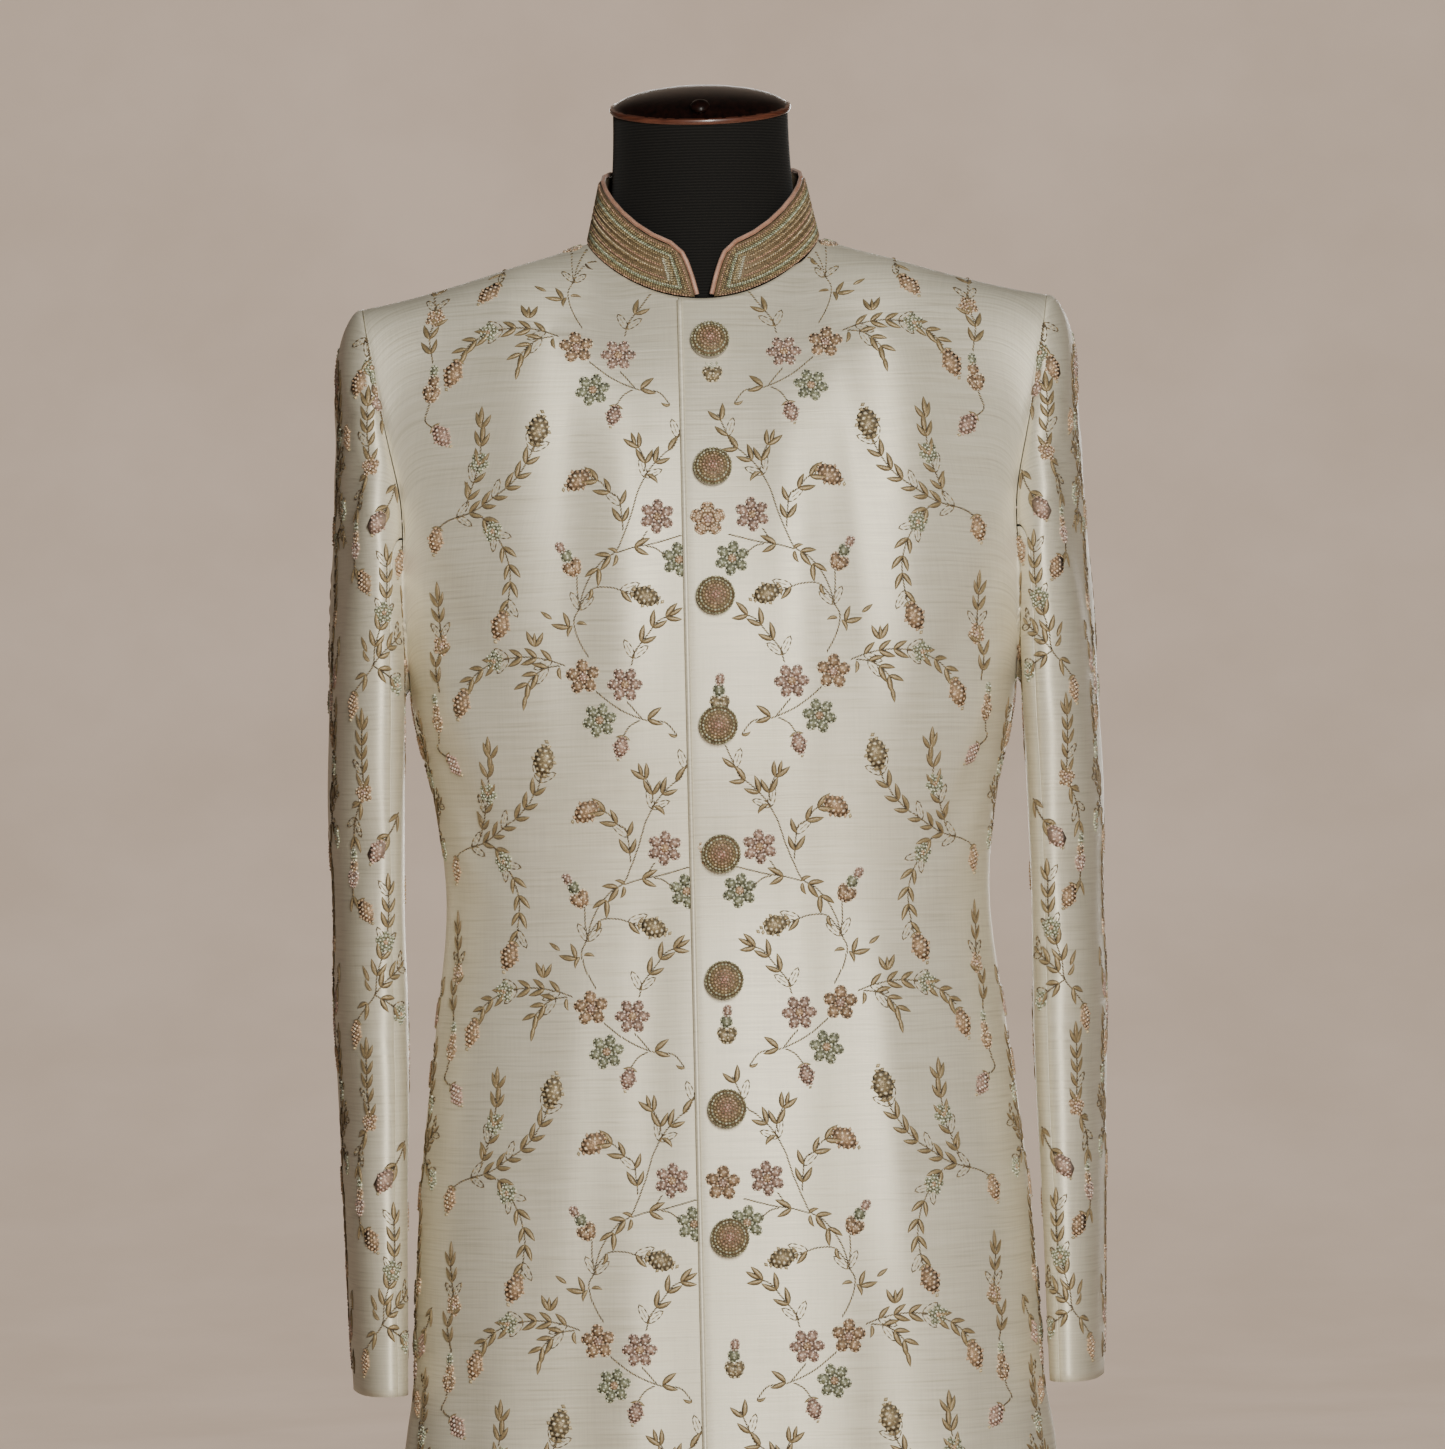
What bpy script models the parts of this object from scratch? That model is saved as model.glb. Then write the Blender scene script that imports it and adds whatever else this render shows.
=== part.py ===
# An ivory raw-silk sherwani coat that rests on a limbless dress form.
# Metres, +Z up. The coat faces -Y, and the wearer's left is at +X.
# The origin is at floor level, in the middle of the part's footprint.

import math

import bmesh
import bpy
from mathutils import Vector
from mathutils.bvhtree import BVHTree

# Cloth
WALL = 0.002
SEAM_GAP = 0.0003
LAP_GAP = 0.0005

# Heights
NECK_Z = 1.430
ARMPIT_Z = 1.180
HEM_Z = 0.370
SLEEVE_LEVEL_Z = 1.130
CUFF_Z = 0.724
FORM_BOTTOM_Z = 0.800

# Neckline, a ring round the neck: its height is a mean less a tilt and a saddle
NECK_HALF_WIDTH = 0.075
NECK_HALF_DEPTH = 0.061
NECK_MIDDLE_Y = 0.002
NECK_MEAN_RISE = 0.030
NECK_TILT = 0.019
NECK_SADDLE = 0.011

# Shoulder seam
TIP_X = 0.223
TIP_Y = 0.006
TIP_RISE = 0.0006
SHOULDER_CURVE = 1.25
NECK_SHARE = 0.34

# Roll of the cloth over the shoulder
CURL_SHARE = 0.55
DROP_POWER = 1.2
HOLLOW_POWER = 3
LIP_POWER = 5
REACH_POWER_AT_NECK = 0.80
REACH_POWER_AT_TIP = 0.62

# Body below the armpit
SQUARENESS = 0.30
BODY_RINGS = (
    # height, half width, front depth, back depth
    (1.210, 0.1975, 0.1200, 0.1080),
    (1.180, 0.1975, 0.1205, 0.1080),
    (1.160, 0.1955, 0.1203, 0.1070),
    (1.130, 0.1890, 0.1182, 0.1038),
    (1.105, 0.1828, 0.1148, 0.1002),
    (1.053, 0.1777, 0.1075, 0.0930),
    (1.020, 0.1785, 0.1060, 0.0925),
    (0.975, 0.1840, 0.1085, 0.0980),
    (0.910, 0.1925, 0.1150, 0.1080),
    (0.845, 0.1995, 0.1215, 0.1165),
    (0.780, 0.2040, 0.1270, 0.1230),
    (0.724, 0.2065, 0.1310, 0.1275),
    (0.685, 0.2125, 0.1340, 0.1310),
    (0.540, 0.2250, 0.1425, 0.1410),
    (0.370, 0.2380, 0.1500, 0.1500),
)
ARMHOLE_EDGE = (
    # height, x of the armhole seam
    (1.4306, 0.2230),
    (1.370, 0.2130),
    (1.340, 0.2070),
    (1.304, 0.2000),
    (1.277, 0.1990),
    (1.230, 0.2005),
    (1.180, 0.1975),
)
ARMHOLE_TURN = 0.27
ARMHOLE_RETURN = 0.75

# Front opening: how far each front reaches past the centre line
LAP_REACH = 0.0165
UNDERLAP_REACH = 0.035
LAP_FADE = (0.040, 0.075)
LEAST_LEVEL = 0.6

# Soft flutes of the skirt, as troughs
FRONT_FLUTES = (
    # place across the panel, half width, depth at the hem, height where it starts
    (0.30, 0.085, 0.0060, 1.00),
    (0.58, 0.070, 0.0075, 0.86),
    (0.82, 0.060, 0.0055, 0.78),
)
BACK_FLUTES = (
    (0.26, 0.080, 0.0065, 0.92),
    (0.52, 0.075, 0.0070, 0.84),
    (0.80, 0.060, 0.0060, 0.74),
)

# Sleeves
SLEEVE_TILT = 0.14
SLEEVE_SQUARENESS = 0.35
ROLL_AT_TIP = 0.045
ROLL_AT_ARMPIT = 0.022
HEAD_FULLNESS = 0.75
FRONT_SEAM_TURN = 108.0
BACK_SEAM_TURN = 262.0
SEAM_TURN_GAP = 0.4
SLEEVE_SECTIONS = (
    # height, outer x, inner x, middle y, half depth
    (1.431, 0.2435, 0.2020, 0.004, 0.0730),
    (1.370, 0.2440, 0.2020, 0.004, 0.0740),
    (1.305, 0.2465, 0.2020, 0.003, 0.0745),
    (1.230, 0.2500, 0.2020, 0.002, 0.0765),
    (1.170, 0.2515, 0.2025, 0.002, 0.0765),
    (1.105, 0.2540, 0.2040, 0.004, 0.0735),
    (1.040, 0.2530, 0.2050, 0.007, 0.0690),
    (0.975, 0.2530, 0.2045, 0.006, 0.0650),
    (0.910, 0.2510, 0.2055, 0.002, 0.0620),
    (0.845, 0.2490, 0.2075, -0.003, 0.0595),
    (0.780, 0.2470, 0.2085, -0.008, 0.0575),
    (0.724, 0.2450, 0.2095, -0.012, 0.0560),
)
SLEEVE_FOLDS = (
    # turn, height, half width in turn, half height, slant in turn per metre, depth
    (62.0, 1.330, 26.0, 0.0400, 420.0, 0.0045),
    (34.0, 1.270, 30.0, 0.0450, 420.0, 0.0035),
    (300.0, 1.315, 28.0, 0.0450, -380.0, 0.0045),
    (70.0, 1.090, 34.0, 0.0375, 260.0, 0.0030),
    (286.0, 1.060, 36.0, 0.0425, -240.0, 0.0035),
    (196.0, 1.030, 40.0, 0.0500, 120.0, 0.0030),
    (40.0, 0.930, 30.0, 0.0500, 300.0, 0.0020),
)

# Collar
COLLAR_WALL = 0.0025
COLLAR_SEAT = 0.0010
COLLAR_TOP_HALF_WIDTH = 0.0665
COLLAR_TOP_HALF_DEPTH = 0.0585
COLLAR_TOP_MIDDLE_Y = 0.0025
COLLAR_FRONT_HEIGHT = 0.0305
COLLAR_BACK_HEIGHT = 0.0400
COLLAR_RIBS = 8
RIB_HEIGHT = 0.0009
COLLAR_FRONT_EDGE = (
    # share of the height, x of the collar's front end
    (1.00, 0.0225),
    (0.90, 0.0165),
    (0.75, 0.0135),
    (0.45, 0.0100),
    (0.00, 0.0062),
)
PIPING_RADIUS = 0.0015
PIPING_START = 0.04

# Buttons
BUTTON_COUNT = 8
BUTTON_X = 0.003
TOP_BUTTON_Z = 1.4008
BUTTON_SPACING = 0.0822
BUTTON_SEAT = 0.0004
BUTTON_FOOT = 0.009
BUTTON_PROFILE = (
    # radius, height above the seat
    (0.0104, 0.0000),
    (0.0118, 0.0012),
    (0.01225, 0.0040),
    (0.0108, 0.0068),
    (0.0066, 0.0088),
)
BUTTON_CROWN = 0.0095

# Dress form
FORM_CLEARANCE = 0.0007
FORM_NECK_SINK = 0.0035
FORM_MARGIN = 0.012
FORM_NECK_BASE = (0.064, 0.053)
FORM_NECK_TOP = (0.0572, 0.0505)
FORM_TIP_X = 0.190
FORM_TIP_ROUND = 0.032
FORM_SQUARENESS = 0.15
CAP_MIDDLE_Z = 1.5545
CAP_SLOPE = 0.24
CAP_PROFILE = (
    # share of the neck's radius, height above the cap's foot
    (1.000, 0.0000),
    (1.035, 0.0010),
    (1.035, 0.0030),
    (0.960, 0.0060),
    (0.780, 0.0100),
    (0.480, 0.0135),
)
CAP_CROWN = 0.0150
KNOB_PROFILE = (
    # radius, height
    (0.0039, 0.0000),
    (0.0065, 0.0028),
    (0.0052, 0.0064),
)
KNOB_CROWN = 0.0080
KNOB_CAP_RINGS = (3, 4)
KNOB_SEAT_SHARE = 0.35
POLE_RADIUS = 0.016
BASE_PROFILE = (
    # radius, height
    (0.181, 0.000),
    (0.185, 0.004),
    (0.185, 0.012),
    (0.176, 0.018),
    (0.090, 0.023),
    (0.030, 0.026),
)

# How finely the cloth is divided
PANEL_COLUMNS = 15
COLUMN_CROWDING = 1.12
BACK_COLUMNS = 12
YOKE_ROWS = (0.0, 0.09, 0.20, 0.32, 0.45, 0.58, 0.70, 0.80, 0.88, 0.94, 0.98)
BODY_ROWS = (
    1.180, 1.155, 1.125, 1.090, 1.050, 1.005, 0.950, 0.885, 0.815,
    0.750, 0.700, 0.630, 0.550, 0.460, 0.370,
)
HEAD_ROWS = 5
CAP_ROWS = 4
ARM_ROWS = 9
COLLAR_COLUMNS = 28
PIPING_RISE_STEPS = 7
BUTTON_SEGMENTS = 16
TORSO_NECK_COLUMNS = 4
TORSO_SHOULDER_COLUMNS = 6
TORSO_CHEST_ROWS = 7
TORSO_LOWER_ROWS = 6
NECK_SEGMENTS = 16
NECK_ROWS = 5
CAP_SEGMENTS = 24
KNOB_SEGMENTS = 12
POLE_SEGMENTS = 20
BASE_SEGMENTS = 48

# Steps of the sums
STEP = 1e-4
TURN_STEP = 3.0
LEAST_COLUMN_TURN = 3.0
HALVINGS = 40
MOST_LAP_ACROSS = 0.5
WELD = 1e-6
SHARP_ANGLE = 40.0

COLOURS = {
    # base colour, roughness, metallic
    "silk": ((0.70, 0.68, 0.62), 0.45, 0.0),
    "collar embroidery": ((0.45, 0.36, 0.22), 0.50, 0.1),
    "piping": ((0.66, 0.44, 0.38), 0.55, 0.0),
    "button embroidery": ((0.42, 0.34, 0.24), 0.50, 0.1),
    "jersey": ((0.012, 0.011, 0.011), 0.85, 0.0),
    "polished wood": ((0.035, 0.010, 0.008), 0.18, 0.0),
    "dark metal": ((0.030, 0.030, 0.032), 0.40, 0.6),
}


# Small helpers


def blend(first, last, share):
    return first + (last - first) * share


def ease(share):
    """A smooth step from 0 to 1."""
    share = min(1.0, max(0.0, share))
    return share * share * (3.0 - 2.0 * share)


def read_table(table, height, column):
    """A smooth value from a table whose first column falls from row to row."""
    heights = [row[0] for row in table]
    values = [row[column] for row in table]
    if height >= heights[0]:
        return values[0]
    if height <= heights[-1]:
        return values[-1]
    row = max(k for k in range(len(table) - 1) if heights[k] >= height)

    def slope(k):
        before = max(k - 1, 0)
        after = min(k + 1, len(table) - 1)
        return (values[after] - values[before]) / (heights[after] - heights[before])

    span = heights[row + 1] - heights[row]
    s = (height - heights[row]) / span
    return (
        values[row] * (2 * s**3 - 3 * s**2 + 1)
        + slope(row) * span * (s**3 - 2 * s**2 + s)
        + values[row + 1] * (3 * s**2 - 2 * s**3)
        + slope(row + 1) * span * (s**3 - s**2)
    )


def material(finish):
    found = bpy.data.materials.get(finish)
    if found:
        return found
    colour, roughness, metallic = COLOURS[finish]
    made = bpy.data.materials.new(finish)
    made.use_nodes = True
    shader = made.node_tree.nodes["Principled BSDF"]
    shader.inputs["Base Color"].default_value = (*colour, 1.0)
    shader.inputs["Roughness"].default_value = roughness
    shader.inputs["Metallic"].default_value = metallic
    return made


def add_solid(name, bm, finish):
    """One named object from a closed bmesh."""
    bmesh.ops.remove_doubles(bm, verts=bm.verts, dist=WELD)
    bmesh.ops.recalc_face_normals(bm, faces=bm.faces)
    mesh = bpy.data.meshes.new(name)
    bm.to_mesh(mesh)
    bm.free()
    mesh.shade_smooth()
    mesh.set_sharp_from_angle(angle=math.radians(SHARP_ANGLE))
    mesh.materials.append(material(finish))
    obj = bpy.data.objects.new(name, mesh)
    bpy.context.scene.collection.objects.link(obj)
    return obj


def grid_normals(grid, middle):
    """A unit normal at each grid point, pointing away from the middle line's point at its height."""
    rows = len(grid)
    columns = len(grid[0])
    normals = []
    for i in range(rows):
        line = []
        for j in range(columns):
            down = grid[min(i + 1, rows - 1)][j] - grid[max(i - 1, 0)][j]
            across = grid[i][min(j + 1, columns - 1)] - grid[i][max(j - 1, 0)]
            line.append(down.cross(across).normalized())
        normals.append(line)
    i = rows // 2
    j = columns // 2
    if normals[i][j].dot(grid[i][j] - middle(grid[i][j].z)) < 0:
        normals = [[-normal for normal in line] for line in normals]
    return normals


def cloth_wall(name, outer, inner, finish):
    """A closed wall between two grids of the same size."""
    bm = bmesh.new()
    rows = len(outer)
    columns = len(outer[0])
    front = [[bm.verts.new(p) for p in line] for line in outer]
    back = [[bm.verts.new(p) for p in line] for line in inner]
    for i in range(rows - 1):
        for j in range(columns - 1):
            for sheet in (front, back):
                corners = (sheet[i][j], sheet[i][j + 1], sheet[i + 1][j + 1], sheet[i + 1][j])
                bm.faces.new(corners if sheet is front else corners[::-1])
    rim = [(0, j) for j in range(columns)]
    rim += [(i, columns - 1) for i in range(1, rows)]
    rim += [(rows - 1, j) for j in range(columns - 2, -1, -1)]
    rim += [(i, 0) for i in range(rows - 2, 0, -1)]
    for (i, j), (k, m) in zip(rim, rim[1:] + rim[:1]):
        bm.faces.new((front[k][m], front[i][j], back[i][j], back[k][m]))
    return add_solid(name, bm, finish)


def cloth_panel(name, outer, normals, finish):
    """A wall of the cloth's thickness inside a grid of outer points."""
    inner = [
        [point - normal * WALL for point, normal in zip(line, facing)]
        for line, facing in zip(outer, normals)
    ]
    return cloth_wall(name, outer, inner, finish)


def turned(name, profile, crown, segments, place, axis, finish):
    """A solid of revolution from rings of radius and height, closed by a foot and a crown."""
    bm = bmesh.new()
    turn = axis.to_track_quat("Z", "Y")
    rings = []
    for radius, height in profile:
        ring = []
        for k in range(segments):
            angle = 2 * math.pi * k / segments
            local = Vector((radius * math.cos(angle), radius * math.sin(angle), height))
            ring.append(bm.verts.new(place + turn @ local))
        rings.append(ring)
    for low, high in zip(rings, rings[1:]):
        for k in range(segments):
            m = (k + 1) % segments
            bm.faces.new((low[k], low[m], high[m], high[k]))
    bm.faces.new(rings[0][::-1])
    top = bm.verts.new(place + turn @ Vector((0, 0, crown)))
    for k in range(segments):
        bm.faces.new((rings[-1][k], rings[-1][(k + 1) % segments], top))
    return add_solid(name, bm, finish)


# The coat's own surface: across runs from 0 at the centre line to 1 at the side,
# along runs from 0 at the neckline and shoulder seam, through 1 at the armpit, to 2 at the hem.
# The side is -1 for the front and 1 for the back.


def neckline_point(turn):
    """A point of the neckline, at a turn from the centre front."""
    rise = NECK_MEAN_RISE - NECK_TILT * math.cos(turn) - NECK_SADDLE * math.cos(2 * turn)
    return Vector((
        NECK_HALF_WIDTH * math.sin(turn),
        NECK_MIDDLE_Y - NECK_HALF_DEPTH * math.cos(turn),
        NECK_Z + rise,
    ))


def shoulder_point(share):
    """A point of the shoulder seam, from the neck at 0 to the tip at 1."""
    neck = neckline_point(math.pi / 2)
    rise = (1.0 - share) ** SHOULDER_CURVE
    return Vector((
        blend(neck.x, TIP_X, share),
        blend(neck.y, TIP_Y, share),
        blend(NECK_Z + TIP_RISE, neck.z, rise),
    ))


def top_point(across, side):
    share = abs(across)
    if share <= NECK_SHARE:
        turn = math.pi / 2 * share / NECK_SHARE
        point = neckline_point(turn if side < 0 else math.pi - turn)
    else:
        point = shoulder_point((share - NECK_SHARE) / (1 - NECK_SHARE))
    point.x = math.copysign(point.x, across)
    return point


def ring_point(angle, height, side):
    half_width = read_table(BODY_RINGS, height, 1)
    depth = read_table(BODY_RINGS, height, 2 if side < 0 else 3)
    sine = math.sin(angle)
    bulge = 1 + SQUARENESS * sine**2
    return Vector((half_width * sine, side * depth * math.cos(angle) * bulge, height))


def reach_power(share):
    """How squarely the shoulder turns down: more so at its tip than at the neck."""
    return blend(REACH_POWER_AT_NECK, REACH_POWER_AT_TIP, share**HOLLOW_POWER)


def yoke_point(across, along, side):
    """The surface above the armpit, which rolls over the shoulder and is cut by the armhole."""
    share = abs(across)
    top = top_point(across, side)
    bottom = ring_point(across * math.pi / 2, ARMPIT_Z, side)
    curl = ease(share / CURL_SHARE)
    angle = along * math.pi / 2
    drop = blend(along, (1 - math.cos(angle)) ** DROP_POWER, curl)
    reach = blend(along * (2 - along), math.sin(angle) ** reach_power(share), curl)
    height = blend(top.z, bottom.z, drop)
    chest = ring_point(across * math.pi / 2 * (1 - ARMHOLE_TURN * share**2), ARMPIT_Z, side)
    late = max(0.0, (along - ARMHOLE_RETURN) / (1 - ARMHOLE_RETURN))
    stay = blend(1 - ease(late), math.sqrt(1 - late**2), share**LIP_POWER)
    depth = blend(bottom.y, chest.y, stay)
    edge = read_table(ARMHOLE_EDGE, height, 1) - blend(TIP_X, ARMHOLE_EDGE[-1][1], along)
    x = blend(top.x, bottom.x, along) + math.copysign(share**HOLLOW_POWER, across) * edge
    return Vector((x, blend(top.y, depth, reach), height))


def body_point(across, along, side):
    if along <= 1:
        return yoke_point(across, along, side)
    return ring_point(across * math.pi / 2, blend(ARMPIT_Z, HEM_Z, along - 1), side)


def body_normal(across, along, side):
    """The outward direction of the coat's surface."""
    low = max(along - STEP, 0.0)
    high = min(along + STEP, 2.0)
    down = body_point(across, high, side) - body_point(across, low, side)
    before = body_point(across - STEP, along, side)
    after = body_point(min(across + STEP, 1.0), along, side)
    normal = down.cross(after - before).normalized()
    point = body_point(across, along, side)
    return -normal if normal.dot(point - body_middle(point.z)) < 0 else normal


def level_lift(across, along, side):
    """A level step that moves the surface outward by one unit, measured square to the cloth."""
    normal = body_normal(across, along, side)
    level = Vector((normal.x, normal.y, 0.0))
    return level.normalized() / max(level.length, LEAST_LEVEL)


def across_at(x, along, side):
    """Where the surface has this x, found by halving."""
    low = -MOST_LAP_ACROSS
    high = MOST_LAP_ACROSS
    for _ in range(HALVINGS):
        middle = (low + high) / 2
        if body_point(middle, along, side).x < x:
            low = middle
        else:
            high = middle
    return low


def flute_depth(flutes, across, height):
    depth = 0.0
    for place, half_width, deepest, start in flutes:
        grown = ease((start - height) / (start - HEM_Z))
        depth += deepest * grown * math.exp(-(((across - place) / half_width) ** 2))
    return depth


def body_grid(side, hand, columns, reach, lift, flutes):
    """The outer points of one front or back; hand is 1 on the wearer's left."""
    rows = list(YOKE_ROWS)
    rows += [1 + (ARMPIT_Z - height) / (ARMPIT_Z - HEM_Z) for height in BODY_ROWS]
    grid = []
    for along in rows:
        start = across_at(-reach, along, side) if reach else 0.0
        line = []
        for k in range(columns + 1):
            across = blend(start, 1.0, (k / columns) ** COLUMN_CROWDING)
            point = body_point(across, along, side)
            raised = lift * (1 - ease((point.x - LAP_FADE[0]) / (LAP_FADE[1] - LAP_FADE[0])))
            raised -= flute_depth(flutes, across, point.z)
            if raised:
                point = point + level_lift(across, along, side) * raised
            line.append(Vector((hand * point.x, point.y + side * SEAM_GAP / 2, point.z)))
        grid.append(line)
    return grid


def body_middle(height):
    return Vector((0.0, 0.0, height))


def body_panel(name, grid, centre_seam):
    """A front or back whose cut edges lie square to the seams that they meet at."""
    normals = grid_normals(grid, body_middle)
    if centre_seam:
        for facing in normals:
            facing[0].x = 0.0
    for k, facing in enumerate(normals):
        if k < len(YOKE_ROWS):
            facing[-1].x = math.copysign(facing[-1].x, grid[k][-1].x)
        else:
            facing[-1].y = 0.0
    for point, normal in zip(grid[0], normals[0]):
        if abs(point.x) > NECK_HALF_WIDTH - STEP:
            normal.y = 0.0
    normals = [[normal.normalized() for normal in facing] for facing in normals]
    return cloth_panel(name, grid, normals, "silk")


def make_fronts():
    """The wearer's left front, which laps over the right one, and then the right."""
    lift = WALL + LAP_GAP
    left = body_grid(-1, 1, PANEL_COLUMNS, LAP_REACH, lift, FRONT_FLUTES)
    lapping = body_panel("front_left", left, False)
    right = body_grid(-1, -1, PANEL_COLUMNS, UNDERLAP_REACH, 0.0, FRONT_FLUTES)
    body_panel("front_right", right, False)
    return lapping


def make_backs():
    for name, hand in (("back_left", 1), ("back_right", -1)):
        grid = body_grid(1, hand, BACK_COLUMNS, 0.0, 0.0, BACK_FLUTES)
        for line in grid:
            for point in line:
                point.x += hand * SEAM_GAP / 2
        body_panel(name, grid, True)


# Sleeves: the turn runs from 0 at the shoulder tip and the outside of the arm,
# through 90 degrees at the front and 180 at the armpit, to 270 at the back.


def armhole_edge(side):
    """The corners of the armhole's edge from the tip to the armpit, and the turn of each."""
    points = [body_point(1.0, along, side) for along in (*YOKE_ROWS, 1.0)]
    lengths = [0.0]
    for before, after in zip(points, points[1:]):
        lengths.append(lengths[-1] + (after - before).length)
    return points, [180 * length / lengths[-1] for length in lengths]


def armhole_point(turn, edges):
    turn = turn % 360
    points, turns = edges[-1 if turn <= 180 else 1]
    wanted = turn if turn <= 180 else 360 - turn
    k = min(sum(1 for corner in turns[1:] if corner < wanted), len(points) - 2)
    share = (wanted - turns[k]) / (turns[k + 1] - turns[k])
    return points[k].lerp(points[k + 1], share) + Vector((SEAM_GAP, 0, 0))


def sleeve_turns(first, last, edges):
    """Turns of a sleeve piece's columns: its two seams, and the armhole's corners between."""
    corners = edges[-1][1] + [360 - turn for turn in edges[1][1]]
    corners = {round(turn, 6) for whole in (-360, 0) for turn in (c + whole for c in corners)}
    first += SEAM_TURN_GAP
    last -= SEAM_TURN_GAP
    low = first + LEAST_COLUMN_TURN
    high = last - LEAST_COLUMN_TURN
    return [first, *sorted(turn for turn in corners if low < turn < high), last]


def sleeve_section(turn, height):
    outer = read_table(SLEEVE_SECTIONS, height, 1)
    inner = read_table(SLEEVE_SECTIONS, height, 2)
    middle_y = read_table(SLEEVE_SECTIONS, height, 3)
    half_depth = read_table(SLEEVE_SECTIONS, height, 4)
    reach = (outer - inner) / 2
    half_width = math.sqrt(reach**2 - (SLEEVE_TILT * half_depth) ** 2)
    angle = math.radians(turn)
    sine = math.sin(angle)
    y = -half_depth * sine
    bulge = 1 + SLEEVE_SQUARENESS * sine**2
    x = (outer + inner) / 2 + half_width * math.cos(angle) * bulge + SLEEVE_TILT * y
    return Vector((x, middle_y + y, height))


def sleeve_fold(turn, height):
    depth = 0.0
    for place, middle, half_turn, half_height, slant, deepest in SLEEVE_FOLDS:
        rise = height - middle
        off = (turn - place - slant * rise + 180) % 360 - 180
        falls = (off / half_turn) ** 2 + (rise / half_height) ** 2
        depth += deepest * math.exp(-falls)
    return depth


def sleeve_point(turn, along, edges):
    """Along runs 0 to 1 over the sleeve head, to 2 below the armpit and to 3 at the cuff."""
    start = armhole_point(turn, edges)
    angle = math.radians(turn)
    roll = blend(ROLL_AT_TIP, ROLL_AT_ARMPIT, (1 - math.cos(angle)) / 2)
    out = 1.0
    if along <= 1:
        height = start.z - roll * (1 - math.cos(along * math.pi / 2))
        out = math.sin(along * math.pi / 2)
    elif along <= 2:
        height = blend(start.z - roll, SLEEVE_LEVEL_Z, along - 1)
    else:
        height = blend(SLEEVE_LEVEL_Z, CUFF_Z, along - 2)
    section = sleeve_section(turn, height)
    sink = sleeve_fold(turn, height) * out
    x = blend(start.x, section.x, out) - math.cos(angle) * sink
    y = blend(start.y, section.y, out**HEAD_FULLNESS) + math.sin(angle) * sink
    return Vector((x, y, height))


def sleeve_normal(turn, along, edges):
    """The sleeve's outward direction, square to the armhole's plane on the first row."""
    around = sleeve_point(turn + TURN_STEP, along, edges)
    around -= sleeve_point(turn - TURN_STEP, along, edges)
    down = sleeve_point(turn, min(along + 2 * STEP, 3), edges)
    down -= sleeve_point(turn, max(along - 2 * STEP, 0), edges)
    normal = around.cross(down)
    if along == 0:
        normal.x = 0.0
    return normal.normalized()


def make_sleeves():
    edges = {side: armhole_edge(side) for side in (-1, 1)}
    rows = [k / HEAD_ROWS for k in range(HEAD_ROWS)]
    rows += [1 + k / CAP_ROWS for k in range(CAP_ROWS)]
    rows += [2 + k / ARM_ROWS for k in range(ARM_ROWS + 1)]
    cuts = (
        ("sleeve_top", BACK_SEAM_TURN - 360, FRONT_SEAM_TURN),
        ("sleeve_under", FRONT_SEAM_TURN, BACK_SEAM_TURN),
    )
    for piece, first, last in cuts:
        turns = sleeve_turns(first, last, edges)
        grid = [[sleeve_point(turn, along, edges) for turn in turns] for along in rows]
        normals = [[sleeve_normal(turn, along, edges) for turn in turns] for along in rows]
        for word, hand in (("left", 1), ("right", -1)):
            mirror = Vector((hand, 1, 1))
            outer = [[point * mirror for point in line] for line in grid]
            facing = [[normal * mirror for normal in line] for line in normals]
            cloth_panel(f"{piece}_{word}", outer, facing, "silk")


# Collar: share runs from 0 at the wearer's left front end round the back to 1,
# and high from 0 at the neckline to 1 at the upper edge.


def collar_point(share, high):
    half_width = blend(NECK_HALF_WIDTH, COLLAR_TOP_HALF_WIDTH, high)
    start = math.asin(read_table(COLLAR_FRONT_EDGE, high, 1) / half_width)
    turn = blend(start, 2 * math.pi - start, share)
    foot = neckline_point(turn)
    front = ((1 + math.cos(turn)) / 2) ** 2
    top = Vector((
        COLLAR_TOP_HALF_WIDTH * math.sin(turn),
        COLLAR_TOP_MIDDLE_Y - COLLAR_TOP_HALF_DEPTH * math.cos(turn),
        foot.z + blend(COLLAR_BACK_HEIGHT, COLLAR_FRONT_HEIGHT, front),
    ))
    return foot.lerp(top, high) + Vector((0, 0, COLLAR_SEAT))


def collar_normal(share, high):
    before = collar_point(max(share - STEP, 0), high)
    after = collar_point(min(share + STEP, 1), high)
    below = collar_point(share, max(high - STEP, 0))
    above = collar_point(share, min(high + STEP, 1))
    return (after - before).cross(above - below).normalized()


def make_collar():
    columns = COLLAR_COLUMNS
    steps = 2 * COLLAR_RIBS
    outer = []
    inner = []
    for i in range(steps + 1):
        high = i / steps
        ridge = RIB_HEIGHT if i % 2 else 0.0
        outside = []
        inside = []
        for j in range(columns + 1):
            share = j / columns
            point = collar_point(share, high)
            normal = collar_normal(share, high)
            outside.append(point + normal * ridge)
            inside.append(point - normal * COLLAR_WALL)
        outer.append(outside)
        inner.append(inside)
    cloth_wall("collar", outer, inner, "collar embroidery")


def collar_rim():
    """Share and height of points along the front end, the upper edge and the other end."""
    steps = PIPING_RISE_STEPS
    climb = [blend(PIPING_START, 1.0, k / steps) for k in range(steps + 1)]
    rim = [(0.0, high) for high in climb]
    rim += [(k / COLLAR_COLUMNS, 1.0) for k in range(1, COLLAR_COLUMNS)]
    rim += [(1.0, high) for high in reversed(climb)]
    return rim


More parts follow.
